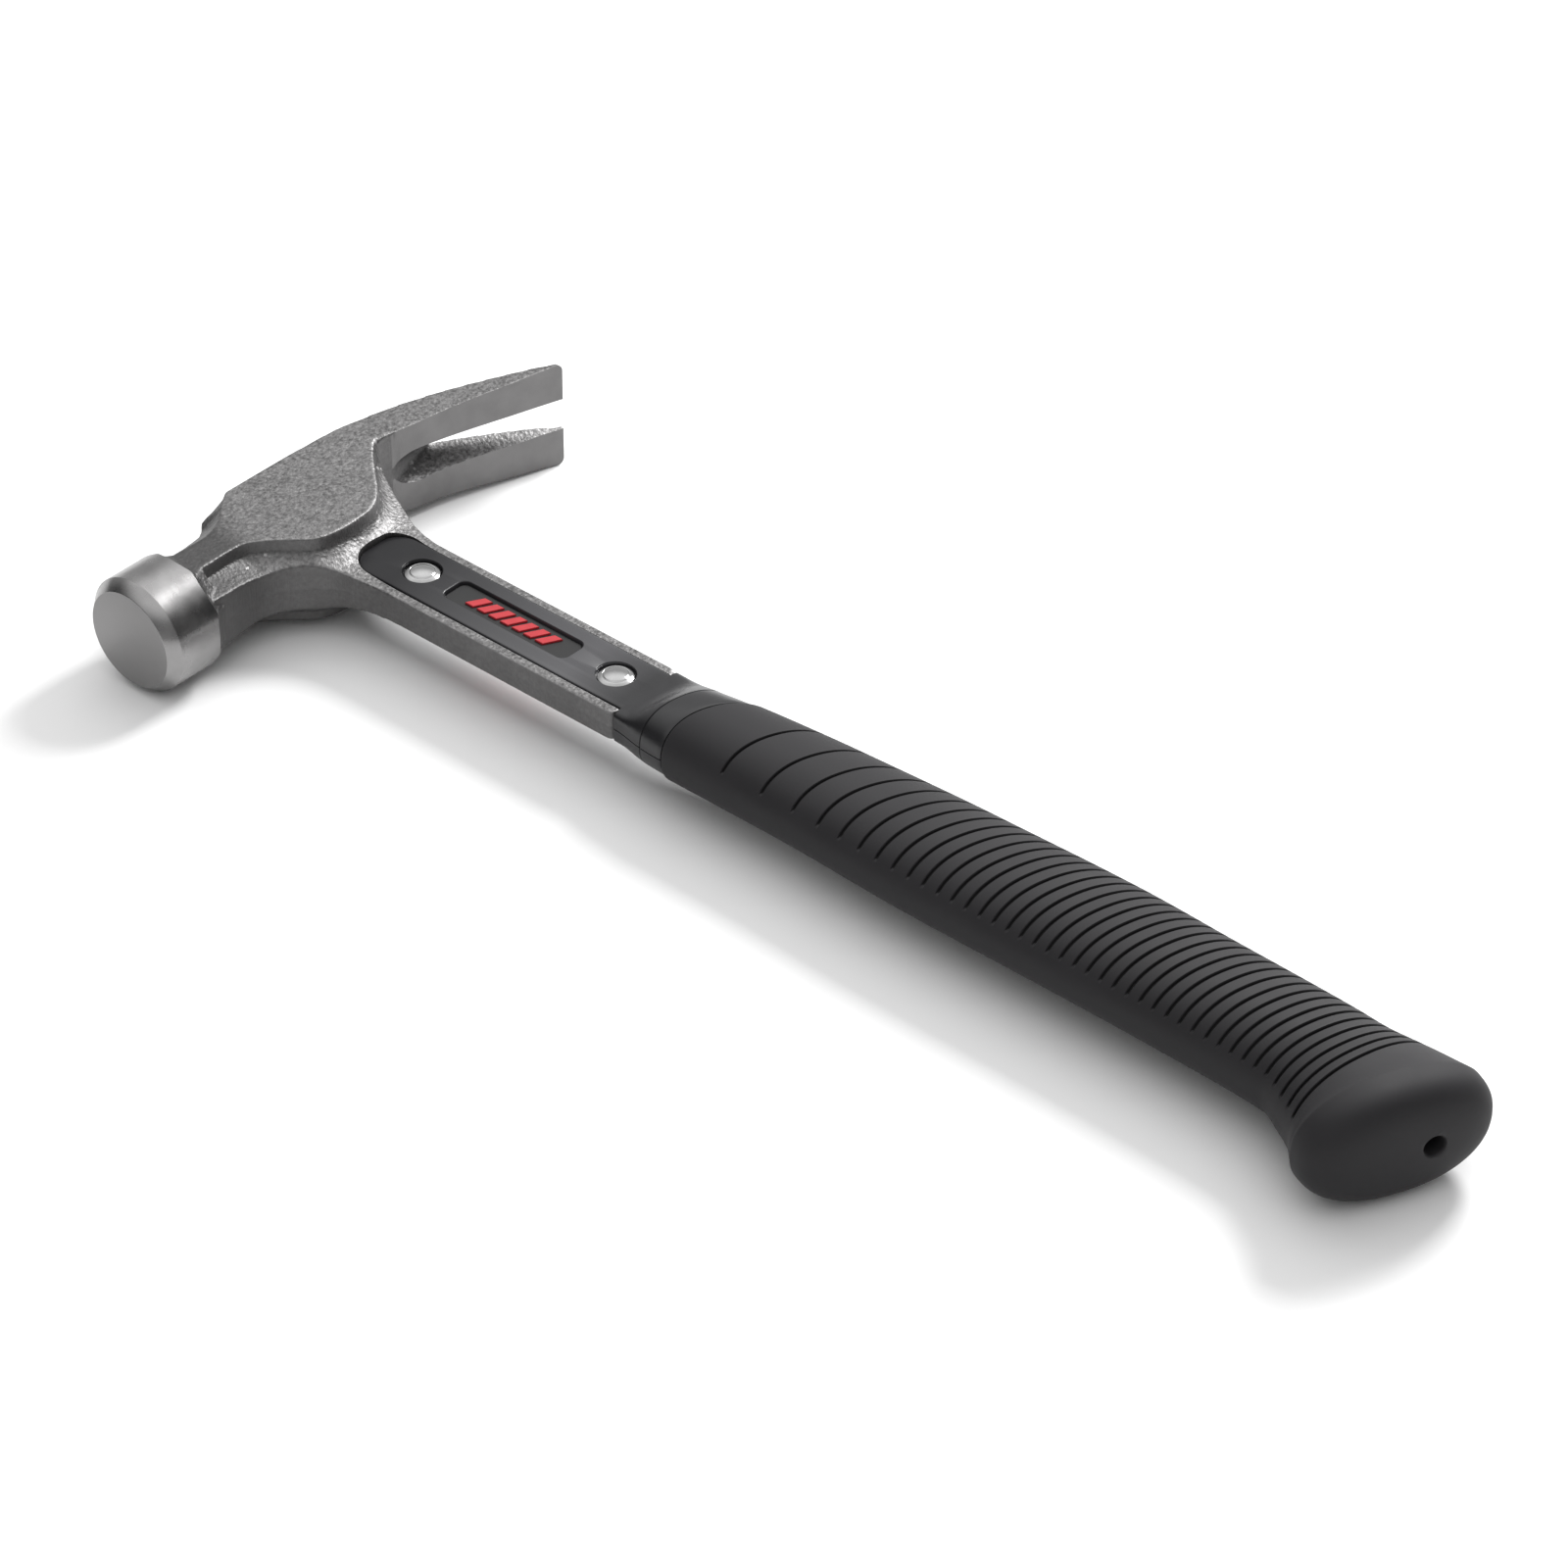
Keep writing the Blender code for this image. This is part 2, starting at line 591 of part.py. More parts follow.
def build_grip():
    xs = [COLLAR_X + GAP * 0.5, 131.6, 137.0, 145.0, 155.0, 168.0, 183.0, 200.0, 220.0, 240.0,
          260.0, 280.0, 292.0, 300.0, 304.5, 308.3, 311.0, 313.6, 316.3, 318.8, 321.1,
          323.0, GX[-1]]
    rings = [slant(grip_ring(x, 0.35 if x < 131.0 else 0.0, SEG)) if x < 155.0
             else grip_ring(x, 0.0, SEG) for x in xs] + BUTT_RINGS
    rings.insert(0, slant(core_ring(xs[0], SEG, -1.0)))     # front face follows the lean
    grip = loft("grip", rings)
    rings = [slant(core_ring(x, SEG, GAP)) for x in (COLLAR_X - 7.0, COLLAR_X - 2.0, 137.0, 145.0)]
    rings += [core_ring(x, SEG, GAP) for x in (155.0, 175.0, 205.0, 240.0, 275.0, 300.0, 315.0)]
    end = core_ring(315.0, SEG, GAP)
    cy = sum(p[1] for p in end) / SEG
    rings.append([(CORE_END_X + GAP, cy + (p[1] - cy) * 0.81, Z_MID + (p[2] - Z_MID) * 0.77) for p in end])
    bore = loft("bore", rings)
    combine(grip, bore, "DIFFERENCE")
    # blind hole square to the leaning end
    q = 1 / math.hypot(1, GK[-1])
    nx, ny = q, -q * GK[-1]
    rings = []
    for d in (-7.0, 6.0):
        rings.append([(HOLE_XY[0] + nx * d - ny * HOLE_R * math.cos(t),
                       HOLE_XY[1] + ny * d + nx * HOLE_R * math.cos(t),
                       Z_MID + HOLE_R * math.sin(t))
                      for t in [2 * math.pi * k / 20 for k in range(20)]])
    combine(grip, loft("blind", rings), "DIFFERENCE")
    return grip


def build_rivet(x):
    r, s = RIVET_HEAD_R, RIVET_SHANK_R
    top = [(0.0, RIVET_HEAD_Z), (2.4, RIVET_HEAD_Z - 0.12), (3.9, RIVET_HEAD_Z - 0.45),
           (r, RIVET_HEAD_Z - 0.95), (r, 3.6 + GAP), (s, 3.6 + GAP)]
    prof = top + [(a, -b) for a, b in reversed(top)]
    return turned("rivet", prof[::-1], "Z", (x, 0, Z_MID), 28)


# ----------------------------------------------------------------- the parts
steel = material("forged_steel", (0.36, 0.36, 0.37), 1.0, 0.42)
plastic = material("black_plastic", (0.022, 0.022, 0.026), 0.0, 0.38)
rubber = material("black_rubber", (0.035, 0.035, 0.038), 0.0, 0.62)
chrome = material("rivet_chrome", (0.72, 0.72, 0.74), 1.0, 0.12)
red = material("badge_red", (0.72, 0.03, 0.05), 0.0, 0.42)

finish(build_head(), "head_forging", steel)
finish(build_core_half(1), "core_half_top", plastic)
finish(build_core_half(-1), "core_half_bottom", plastic)
finish(build_grip(), "grip_sleeve", rubber)
finish(build_rivet(RIVET_X[0]), "rivet_front", chrome)
finish(build_rivet(RIVET_X[1]), "rivet_rear", chrome)
finish(build_badge(1), "badge_top", red)
finish(build_badge(-1), "badge_bottom", red)
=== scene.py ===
"""Looks of the claw hammer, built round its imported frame.

Drawn in millimetres in the hammer's own plan: the poll's axis is x = 0, the
handle's centre line is y = 0, the mid plane is z = 15, and everything is moved
onto the frame at the end.
"""
import math

import bmesh  # noqa: E402
import bpy  # noqa: E402
import numpy as np  # noqa: E402
from mathutils import Matrix, Vector  # noqa: E402
from mathutils.geometry import delaunay_2d_cdt  # noqa: E402


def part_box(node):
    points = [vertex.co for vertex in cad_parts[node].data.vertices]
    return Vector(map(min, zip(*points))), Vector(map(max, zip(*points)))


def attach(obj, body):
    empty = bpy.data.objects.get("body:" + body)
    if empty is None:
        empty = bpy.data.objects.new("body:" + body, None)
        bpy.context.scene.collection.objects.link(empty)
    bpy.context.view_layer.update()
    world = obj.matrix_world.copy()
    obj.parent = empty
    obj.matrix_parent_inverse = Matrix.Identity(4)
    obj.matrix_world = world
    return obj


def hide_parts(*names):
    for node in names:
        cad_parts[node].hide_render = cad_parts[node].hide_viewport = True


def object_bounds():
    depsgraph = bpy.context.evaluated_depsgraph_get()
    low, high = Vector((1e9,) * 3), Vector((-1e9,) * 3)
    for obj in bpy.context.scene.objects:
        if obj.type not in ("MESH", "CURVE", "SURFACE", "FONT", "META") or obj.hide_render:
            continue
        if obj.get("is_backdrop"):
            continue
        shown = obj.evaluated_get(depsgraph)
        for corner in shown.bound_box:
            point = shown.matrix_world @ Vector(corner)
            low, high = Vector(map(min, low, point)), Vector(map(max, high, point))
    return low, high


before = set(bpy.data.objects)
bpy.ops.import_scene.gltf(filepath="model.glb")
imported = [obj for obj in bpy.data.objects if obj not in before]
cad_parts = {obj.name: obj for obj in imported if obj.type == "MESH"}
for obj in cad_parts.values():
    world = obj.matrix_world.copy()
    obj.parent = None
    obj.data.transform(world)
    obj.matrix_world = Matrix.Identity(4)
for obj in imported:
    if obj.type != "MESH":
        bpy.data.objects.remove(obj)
cad_lo, cad_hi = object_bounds()

POLL_R = 14.975
FACE_Y = -61.2
Z_MID = 15.0
rivet_lo, rivet_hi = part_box("rivet_front")
OX = (rivet_lo.x + rivet_hi.x) * 500.0 - 36.9    # the front rivet stands at x = 36.9
OY = cad_lo.y * 1000.0 - FACE_Y
TO_FRAME = Matrix.Scale(0.001, 4) @ Matrix.Translation((OX, OY, 0.0))


# ------------------------------------------------------------------- helpers
def new_object(name, me):
    ob = bpy.data.objects.new(name, me)
    bpy.context.scene.collection.objects.link(ob)
    return ob


def from_bm(name, bm):
    bmesh.ops.recalc_face_normals(bm, faces=bm.faces)
    me = bpy.data.meshes.new(name)
    bm.to_mesh(me)
    bm.free()
    return new_object(name, me)


def from_arrays(name, co, faces):
    me = bpy.data.meshes.new(name)
    me.from_pydata([tuple(c) for c in co], [], faces)
    me.update()
    return new_object(name, me)


def loft(name, rings, cap0=True, cap1=True):
    n = len(rings[0])
    co = [p for r in rings for p in r]
    faces = []
    for j in range(len(rings) - 1):
        a, b = j * n, (j + 1) * n
        for i in range(n):
            k = (i + 1) % n
            faces.append((a + i, a + k, b + k, b + i))
    if cap0:
        faces.append(tuple(range(n))[::-1])
    if cap1:
        m = (len(rings) - 1) * n
        faces.append(tuple(range(m, m + n)))
    ob = from_arrays(name, co, faces)
    bm = bmesh.new()
    bm.from_mesh(ob.data)
    bmesh.ops.recalc_face_normals(bm, faces=bm.faces)
    bm.to_mesh(ob.data)
    bm.free()
    return ob


def turned(name, profile, axis, centre, n):
    """Solid of revolution of (radius, height) pairs."""
    bm = bmesh.new()
    rings = []
    for r, h in profile:
        if r < 1e-6:
            p = (0, h, 0) if axis == "Y" else (0, 0, h)
            rings.append([bm.verts.new(Vector(p) + Vector(centre))])
            continue
        ring = []
        for k in range(n):
            t = 2 * math.pi * (k + 0.5) / n
            c, s = r * math.cos(t), r * math.sin(t)
            p = (c, h, s) if axis == "Y" else (c, s, h)
            ring.append(bm.verts.new(Vector(p) + Vector(centre)))
        rings.append(ring)
    for a, b in zip(rings, rings[1:]):
        for i in range(n):
            j = (i + 1) % n
            if len(a) == 1 and len(b) == 1:
                continue
            if len(a) == 1:
                bm.faces.new((a[0], b[j], b[i]))
            elif len(b) == 1:
                bm.faces.new((a[i], a[j], b[0]))
            else:
                bm.faces.new((a[i], a[j], b[j], b[i]))
    return from_bm(name, bm)


def apply_modifiers(ob):
    dg = bpy.context.evaluated_depsgraph_get()
    dg.update()
    me = bpy.data.meshes.new_from_object(ob.evaluated_get(dg))
    ob.modifiers.clear()
    old = ob.data
    ob.data = me
    bpy.data.meshes.remove(old)
    return ob


def combine(ob, other, operation, solver="MANIFOLD"):
    mod = ob.modifiers.new("cut", "BOOLEAN")
    mod.operation = operation
    mod.object = other
    try:
        mod.solver = solver
    except TypeError:
        mod.solver = "EXACT"
    if mod.solver == "EXACT":
        mod.material_mode = "TRANSFER"
    before = len(ob.data.polygons)
    apply_modifiers(ob)
    if len(ob.data.polygons) in (0, before) and mod is not None and solver != "EXACT":
        raise RuntimeError(f"boolean {operation} with {other.name} did nothing")
    bpy.data.objects.remove(other, do_unlink=True)
    return ob


def edges_of(me):
    e = np.zeros(len(me.edges) * 2, np.int64)
    me.edges.foreach_get("vertices", e)
    return e.reshape(-1, 2)


def coords(me):
    co = np.zeros(len(me.vertices) * 3)
    me.vertices.foreach_get("co", co)
    return co.reshape(-1, 3)


def set_coords(me, co):
    me.vertices.foreach_set("co", co.astype(np.float32).ravel())
    me.update()


def relax(me, weight, steps, lam=0.5):
    """Laplacian smoothing with a weight for each vertex."""
    e = edges_of(me)
    co = coords(me)
    n = len(co)
    val = np.maximum(np.bincount(e.ravel(), minlength=n), 1)
    for k in range(steps):
        acc = np.zeros_like(co)
        for c in range(3):
            acc[:, c] = (np.bincount(e[:, 0], co[e[:, 1], c], n)
                         + np.bincount(e[:, 1], co[e[:, 0], c], n))
        co += (acc / val[:, None] - co) * (lam * weight(co, k))[:, None]
    set_coords(me, co)


def smoothstep(x, a, b):
    t = np.clip((np.asarray(x, float) - a) / (b - a), 0, 1)
    return t * t * (3 - 2 * t)


def finish(ob, name, mats, angle=30.0):
    ob.name = name
    ob.data.name = name
    ob.data.transform(TO_FRAME)
    ob.data.materials.clear()
    for m in mats:
        ob.data.materials.append(m)
    ob.data.shade_smooth()
    ob.data.set_sharp_from_angle(angle=math.radians(angle))
    ob.data.update()
    return ob


def curve(points, step):
    """Even points, about step apart, on a smooth curve through the given ones."""
    pts = [Vector((*p, 0.0)) for p in points]
    ext = [2 * pts[0] - pts[1]] + pts + [2 * pts[-1] - pts[-2]]
    out = []
    for i in range(1, len(ext) - 2):
        p0, p1, p2, p3 = ext[i - 1:i + 3]
        n = max(1, round((p2 - p1).length / step))
        t0 = 0.0
        t1 = t0 + math.sqrt((p1 - p0).length)
        t2 = t1 + math.sqrt((p2 - p1).length)
        t3 = t2 + math.sqrt((p3 - p2).length)
        for k in range(n):
            t = t1 + (t2 - t1) * k / n
            a1 = (t1 - t) / (t1 - t0) * p0 + (t - t0) / (t1 - t0) * p1
            a2 = (t2 - t) / (t2 - t1) * p1 + (t - t1) / (t2 - t1) * p2
            a3 = (t3 - t) / (t3 - t2) * p2 + (t - t2) / (t3 - t2) * p3
            b1 = (t2 - t) / (t2 - t0) * a1 + (t - t0) / (t2 - t0) * a2
            b2 = (t3 - t) / (t3 - t1) * a2 + (t - t1) / (t3 - t1) * a3
            c = (t2 - t) / (t2 - t1) * b1 + (t - t1) / (t2 - t1) * b2
            out.append((c.x, c.y))
    out.append((pts[-1].x, pts[-1].y))
    return out


def offset_line(line, d):
    out = []
    for i, p in enumerate(line):
        a = Vector(line[max(0, i - 1)])
        b = Vector(line[min(len(line) - 1, i + 1)])
        t = (b - a).normalized()
        out.append((p[0] + t.y * d, p[1] - t.x * d))
    return out


def line_dist(p, line):
    """Distance of each point of p (n, 2) from a polyline."""
    p = np.atleast_2d(np.asarray(p, float))
    a = np.asarray(line[:-1], float)
    b = np.asarray(line[1:], float)
    best = np.full(len(p), 1e9)
    for q, r in zip(a, b):
        d = r - q
        t = np.clip(((p - q) @ d) / (d @ d), 0, 1)
        e = p - q - t[:, None] * d
        best = np.minimum(best, np.hypot(e[:, 0], e[:, 1]))
    return best


def inside(p, poly):
    p = np.atleast_2d(np.asarray(p, float))
    poly = np.asarray(poly, float)
    hit = np.zeros(len(p), bool)
    a, b = poly, np.roll(poly, -1, axis=0)
    for (x0, y0), (x1, y1) in zip(a, b):
        m = (y0 > p[:, 1]) != (y1 > p[:, 1])
        if y1 != y0:
            hit ^= m & (p[:, 0] < (x1 - x0) * (p[:, 1] - y0) / (y1 - y0) + x0)
    return hit


def pchip(x, xs, ys):
    """Monotone cubic interpolation, for arrays."""
    x = np.asarray(x, float)
    xs = np.asarray(xs, float)
    ys = np.asarray(ys, float)
    h = np.diff(xs)
    d = np.diff(ys) / h
    m = np.zeros(len(xs))
    for i in range(1, len(xs) - 1):
        if d[i - 1] * d[i] > 0:
            w1 = 2 * h[i] + h[i - 1]
            w2 = h[i] + 2 * h[i - 1]
            m[i] = (w1 + w2) / (w1 / d[i - 1] + w2 / d[i])
    m[0], m[-1] = d[0], d[-1]
    i = np.clip(np.searchsorted(xs, x) - 1, 0, len(h) - 1)
    t = np.clip((x - xs[i]) / h[i], 0, 1)
    return ((2 * t ** 3 - 3 * t ** 2 + 1) * ys[i] + (t ** 3 - 2 * t ** 2 + t) * h[i] * m[i]
            + (-2 * t ** 3 + 3 * t ** 2) * ys[i + 1] + (t ** 3 - t ** 2) * h[i] * m[i + 1])


# ----------------------------------------------------------------- materials
class Nodes:
    """Short hand for building a node tree."""

    def __init__(self, name):
        self.mat = bpy.data.materials.new(name)
        self.mat.use_nodes = True
        self.t = self.mat.node_tree
        self.bsdf = self.t.nodes["Principled BSDF"]
        self.geo = None

    def new(self, kind, **props):
        n = self.t.nodes.new(kind)
        for k, v in props.items():
            setattr(n, k, v)
        return n

    def put(self, socket, value):
        if isinstance(value, bpy.types.NodeSocket):
            self.t.links.new(value, socket)
        elif value is not None:
            socket.default_value = value

    def pos(self):
        """Position in metres in the hammer's frame."""
        if self.geo is None:
            self.geo = self.new("ShaderNodeTexCoord")
        return self.geo.outputs["Object"]

    def scaled(self, sx, sy, sz):
        m = self.new("ShaderNodeMapping")
        self.put(m.inputs["Vector"], self.pos())
        m.inputs["Scale"].default_value = (sx, sy, sz)
        return m.outputs["Vector"]

    def noise(self, vec, scale, detail=3.0, rough=0.55, distortion=0.0):
        n = self.new("ShaderNodeTexNoise")
        self.put(n.inputs["Vector"], vec)
        n.inputs["Scale"].default_value = scale
        n.inputs["Detail"].default_value = detail
        n.inputs["Roughness"].default_value = rough
        n.inputs["Distortion"].default_value = distortion
        return n.outputs["Fac"]

    def voronoi(self, vec, scale, feature="F1", out="Distance"):
        n = self.new("ShaderNodeTexVoronoi", feature=feature)
        self.put(n.inputs["Vector"], vec)
        n.inputs["Scale"].default_value = scale
        return n.outputs[out]

    def math(self, op, a, b=None, c=None, clamp=False):
        n = self.new("ShaderNodeMath", operation=op, use_clamp=clamp)
        for i, v in enumerate((a, b, c)):
            if v is not None:
                self.put(n.inputs[i], v)
        return n.outputs[0]

    def remap(self, v, a, b, c, d):
        n = self.new("ShaderNodeMapRange")
        self.put(n.inputs["Value"], v)
        for k, x in zip(("From Min", "From Max", "To Min", "To Max"), (a, b, c, d)):
            n.inputs[k].default_value = x
        return n.outputs["Result"]

    def mix(self, f, a, b):
        n = self.new("ShaderNodeMix", data_type="RGBA")
        self.put(n.inputs[0], f)
        self.put(n.inputs[6], a)
        self.put(n.inputs[7], b)
        return n.outputs[2]

    def mixf(self, f, a, b):
        n = self.new("ShaderNodeMix", data_type="FLOAT")
        self.put(n.inputs[0], f)
        self.put(n.inputs[2], a)
        self.put(n.inputs[3], b)
        return n.outputs[0]

    def bump(self, height, strength, distance, normal=None):
        n = self.new("ShaderNodeBump")
        self.put(n.inputs["Height"], height)
        n.inputs["Strength"].default_value = strength
        n.inputs["Distance"].default_value = distance
        if normal is not None:
            self.put(n.inputs["Normal"], normal)
        return n.outputs["Normal"]

    def xyz(self, vec):
        n = self.new("ShaderNodeSeparateXYZ")
        self.put(n.inputs[0], vec)
        return n.outputs

    def set(self, **kw):
        for k, v in kw.items():
            self.put(self.bsdf.inputs[k.replace("_", " ")], v)
        return self.mat


def grey(v, tint=(1.0, 1.0, 1.0)):
    return (v * tint[0], v * tint[1], v * tint[2], 1.0)


STEEL_TINT = (1.0, 0.985, 0.985)


def forged_steel():
    """Shot-blasted drop forging: grainy, with smoother, brighter patches."""
    n = Nodes("steel_forged")
    p = n.pos()
    grain = n.noise(p, 1500.0, 2.0, 0.6)
    pits = n.voronoi(p, 1050.0)
    mid = n.noise(p, 980.0, 3.0, 0.65)
    blotch = n.noise(p, 95.0, 3.0, 0.55)
    # upright striations on the trimmed sides, which stand square to the plan
    geo = n.new("ShaderNodeNewGeometry")
    nz = n.math("ABSOLUTE", n.xyz(geo.outputs["Normal"])[2])
    side = n.remap(nz, 0.15, 0.5, 1.0, 0.0)
    lines = n.noise(n.scaled(2400.0, 2400.0, 130.0), 1.0, 3.0, 0.6)
    h = n.math("ADD", n.math("MULTIPLY", grain, 0.6), n.math("MULTIPLY", pits, 0.6))
    h = n.math("ADD", h, n.math("MULTIPLY", mid, 0.8))
    h = n.mixf(n.math("MULTIPLY", side, 0.75), h, n.math("MULTIPLY", lines, 0.8))
    normal = n.bump(h, 0.75, 0.0002)
    base = n.mix(n.remap(mid, 0.33, 0.67, 0.0, 1.0), grey(0.095, STEEL_TINT), grey(0.295, STEEL_TINT))
    base = n.mix(n.remap(blotch, 0.35, 0.7, 0.0, 0.3), base, grey(0.23, STEEL_TINT))
    # painted shade on the neck and on the steep walls of the raised field, which face away from the light
    y = n.xyz(p)[1]
    neck = n.remap(y, (OY - 22.0) * 0.001, (OY - 30.0) * 0.001, 0.0, 0.85)
    wall = n.remap(nz, 0.93, 0.70, 0.0, 0.6)
    base = n.mix(n.math("MAXIMUM", neck, wall), base, grey(0.085, STEEL_TINT))
    base = n.mix(n.math("MULTIPLY", side, 0.6), base, grey(0.18, STEEL_TINT))
    # worn bright on the convex edges, together with a painted highlight there; painted shade in the hollows
    point = geo.outputs["Pointiness"]
    base = n.mix(n.remap(point, 0.512, 0.57, 0.0, 0.6), base, grey(0.40, STEEL_TINT))
    base = n.mix(n.remap(point, 0.495, 0.45, 0.0, 0.6), base, grey(0.10, STEEL_TINT))
    rough = n.remap(blotch, 0.3, 0.7, 0.44, 0.54)
    rough = n.math("ADD", rough, n.math("MULTIPLY", side, 0.06))
    return n.set(Base_Color=base, Metallic=1.0, Roughness=rough, Normal=normal)


def machined_steel():
    """Turned poll: fine rings about its axis and a satin face."""
    n = Nodes("steel_machined")
    x, y, z = n.xyz(n.pos())[:3]
    rings = n.noise(n.scaled(60.0, 9000.0, 60.0), 1.0, 3.0, 0.6)
    fine = n.noise(n.pos(), 1500.0, 2.0, 0.5)
    cloud = n.noise(n.pos(), 120.0, 3.0, 0.55)
    geo = n.new("ShaderNodeNewGeometry")
    ny = n.math("ABSOLUTE", n.xyz(geo.outputs["Normal"])[1])
    face = n.remap(ny, 0.9, 0.97, 0.0, 1.0)
    streak = n.noise(n.scaled(900.0, 100.0, 130.0), 1.0, 3.0, 0.6)
    h = n.mixf(face, rings, n.math("ADD", n.math("MULTIPLY", fine, 0.5), n.math("MULTIPLY", streak, 0.5)))
    normal = n.bump(h, 0.22, 0.00005)
    base = n.mix(n.remap(cloud, 0.3, 0.7, 0.0, 1.0), grey(0.26, STEEL_TINT), grey(0.33, STEEL_TINT))
    base = n.mix(face, base, grey(0.265, STEEL_TINT))
    rough = n.mixf(face, n.remap(cloud, 0.3, 0.7, 0.22, 0.31), 0.46)
    return n.set(Base_Color=base, Metallic=1.0, Roughness=rough, Normal=normal)


def ground_steel():
    """Claw's underside and tips: ground, with fine scratches."""
    n = Nodes("steel_ground")
    scratch = n.noise(n.scaled(160.0, 160.0, 2600.0), 1.0, 3.0, 0.6)
    fine = n.noise(n.pos(), 1300.0, 3.0, 0.6)
    cloud = n.noise(n.pos(), 110.0, 3.0, 0.5)
    normal = n.bump(n.math("ADD", n.math("MULTIPLY", scratch, 0.5), n.math("MULTIPLY", fine, 0.7)), 0.35, 0.00008)
    base = n.mix(n.remap(cloud, 0.3, 0.7, 0.0, 1.0), grey(0.15, STEEL_TINT), grey(0.20, STEEL_TINT))
    return n.set(Base_Color=base, Metallic=1.0, Roughness=n.remap(cloud, 0.3, 0.7, 0.36, 0.46), Normal=normal)


def plastic(name, base, rough, tint=(1.0, 1.0, 1.07)):
    """Moulded plastic with a fine spark-eroded texture."""
    n = Nodes(name)
    fine = n.noise(n.pos(), 2300.0, 2.0, 0.5)
    cloud = n.noise(n.pos(), 60.0, 3.0, 0.5)
    normal = n.bump(fine, 0.12, 0.00004)
    col = n.mix(n.remap(cloud, 0.3, 0.7, 0.0, 1.0), grey(base * 0.88, tint), grey(base * 1.12, tint))
    return n.set(Base_Color=col, Roughness=n.remap(cloud, 0.3, 0.7, rough - 0.03, rough + 0.04),
                 Normal=normal, Specular_IOR_Level=0.5)


def inlay_plastic():
    """The core's plastic, with a painted sheen: darker at the front, lighter towards the rear rivet where the light's
    reflection falls.
    """
    n = Nodes("core_plastic")
    p = n.pos()
    x = n.xyz(p)[0]
    fine = n.noise(p, 2300.0, 2.0, 0.5)
    cloud = n.noise(p, 60.0, 3.0, 0.5)
    tint = (1.0, 0.985, 1.10)
    col = n.mix(n.remap(cloud, 0.3, 0.7, 0.0, 1.0), grey(0.011, tint), grey(0.015, tint))
    # painted sheen: lighter and more specular towards the rear rivet, where the light's reflection falls
    up = n.remap(x, (OX + 34.0) * 0.001, (OX + 88.0) * 0.001, 0.0, 1.0)
    down = n.remap(x, (OX + 90.0) * 0.001, (OX + 107.0) * 0.001, 0.0, 1.0)
    painted_sheen = n.math("MULTIPLY", up, n.math("SUBTRACT", 1.0, down))
    col = n.mix(n.math("MULTIPLY", painted_sheen, 0.9), col, grey(0.045, tint))
    spec = n.mixf(up, 0.24, 0.95)
    spec = n.mixf(down, spec, 0.50)
    return n.set(Base_Color=col, Roughness=n.remap(cloud, 0.3, 0.7, 0.28, 0.34),
                 Normal=n.bump(fine, 0.12, 0.00004), Specular_IOR_Level=spec)


def rubber():
    """Matte thermoplastic rubber: soft sheen, faint mottle and dust in its grain."""
    n = Nodes("grip_rubber")
    fine = n.noise(n.pos(), 1700.0, 3.0, 0.6)
    cloud = n.noise(n.pos(), 38.0, 4.0, 0.6)
    spots = n.noise(n.pos(), 700.0, 2.0, 0.5)
    h = n.math("ADD", fine, n.math("MULTIPLY", spots, 0.6))
    normal = n.bump(h, 0.22, 0.00006)
    tint = (1.02, 0.96, 1.08)
    col = n.mix(n.remap(cloud, 0.3, 0.7, 0.0, 1.0), grey(0.0125, tint), grey(0.018, tint))
    return n.set(Base_Color=col, Roughness=n.remap(cloud, 0.3, 0.7, 0.60, 0.70), Normal=normal,
                 Specular_IOR_Level=0.32, Sheen_Weight=0.03, Sheen_Roughness=0.5)


# painted shade: a darker rubber for the bottoms of the grip's grooves
def groove_painted_shade():
    n = Nodes("grip_groove_shade")
    fine = n.noise(n.pos(), 1500.0, 2.0, 0.5)
    col = n.mix(fine, grey(0.006), grey(0.012))
    return n.set(Base_Color=col, Roughness=0.8, Normal=n.bump(fine, 0.2, 0.00004), Specular_IOR_Level=0.25)


def chrome():
    n = Nodes("rivet_chrome_plate")
    cloud = n.noise(n.pos(), 500.0, 3.0, 0.5)
    fine = n.noise(n.pos(), 2600.0, 2.0, 0.5)
    col = n.mix(cloud, grey(0.34), grey(0.46))
    return n.set(Base_Color=col, Metallic=1.0, Roughness=n.remap(cloud, 0.3, 0.7, 0.10, 0.18),
                 Normal=n.bump(fine, 0.08, 0.00003))


def red_enamel():
    n = Nodes("badge_red_print")
    cloud = n.noise(n.pos(), 400.0, 3.0, 0.5)
    fine = n.noise(n.pos(), 2200.0, 2.0, 0.5)
    col = n.mix(cloud, (0.42, 0.016, 0.024, 1.0), (0.53, 0.028, 0.038, 1.0))
    return n.set(Base_Color=col, Roughness=n.remap(cloud, 0.3, 0.7, 0.36, 0.46), Normal=n.bump(fine, 0.1, 0.00003))


M_FORGED = forged_steel()
M_MACHINED = machined_steel()
M_GROUND = ground_steel()
M_INLAY = inlay_plastic()
M_RUBBER = rubber()
M_GROOVE_SHADE = groove_painted_shade()
M_CHROME = chrome()
M_RED = red_enamel()
M_PANEL = plastic("badge_panel_black", 0.006, 0.5)

# --------------------------------------------------------------------- head
TANG_W, TANG_H = 11.2, 4.08
TANG_STEP_X, TANG_END_X = 108.5, 296.0
CHEEK_H, FOOT_H, TIP_Y = 12.0, 8.7, 77.0
NECK_FLAT = 4.4

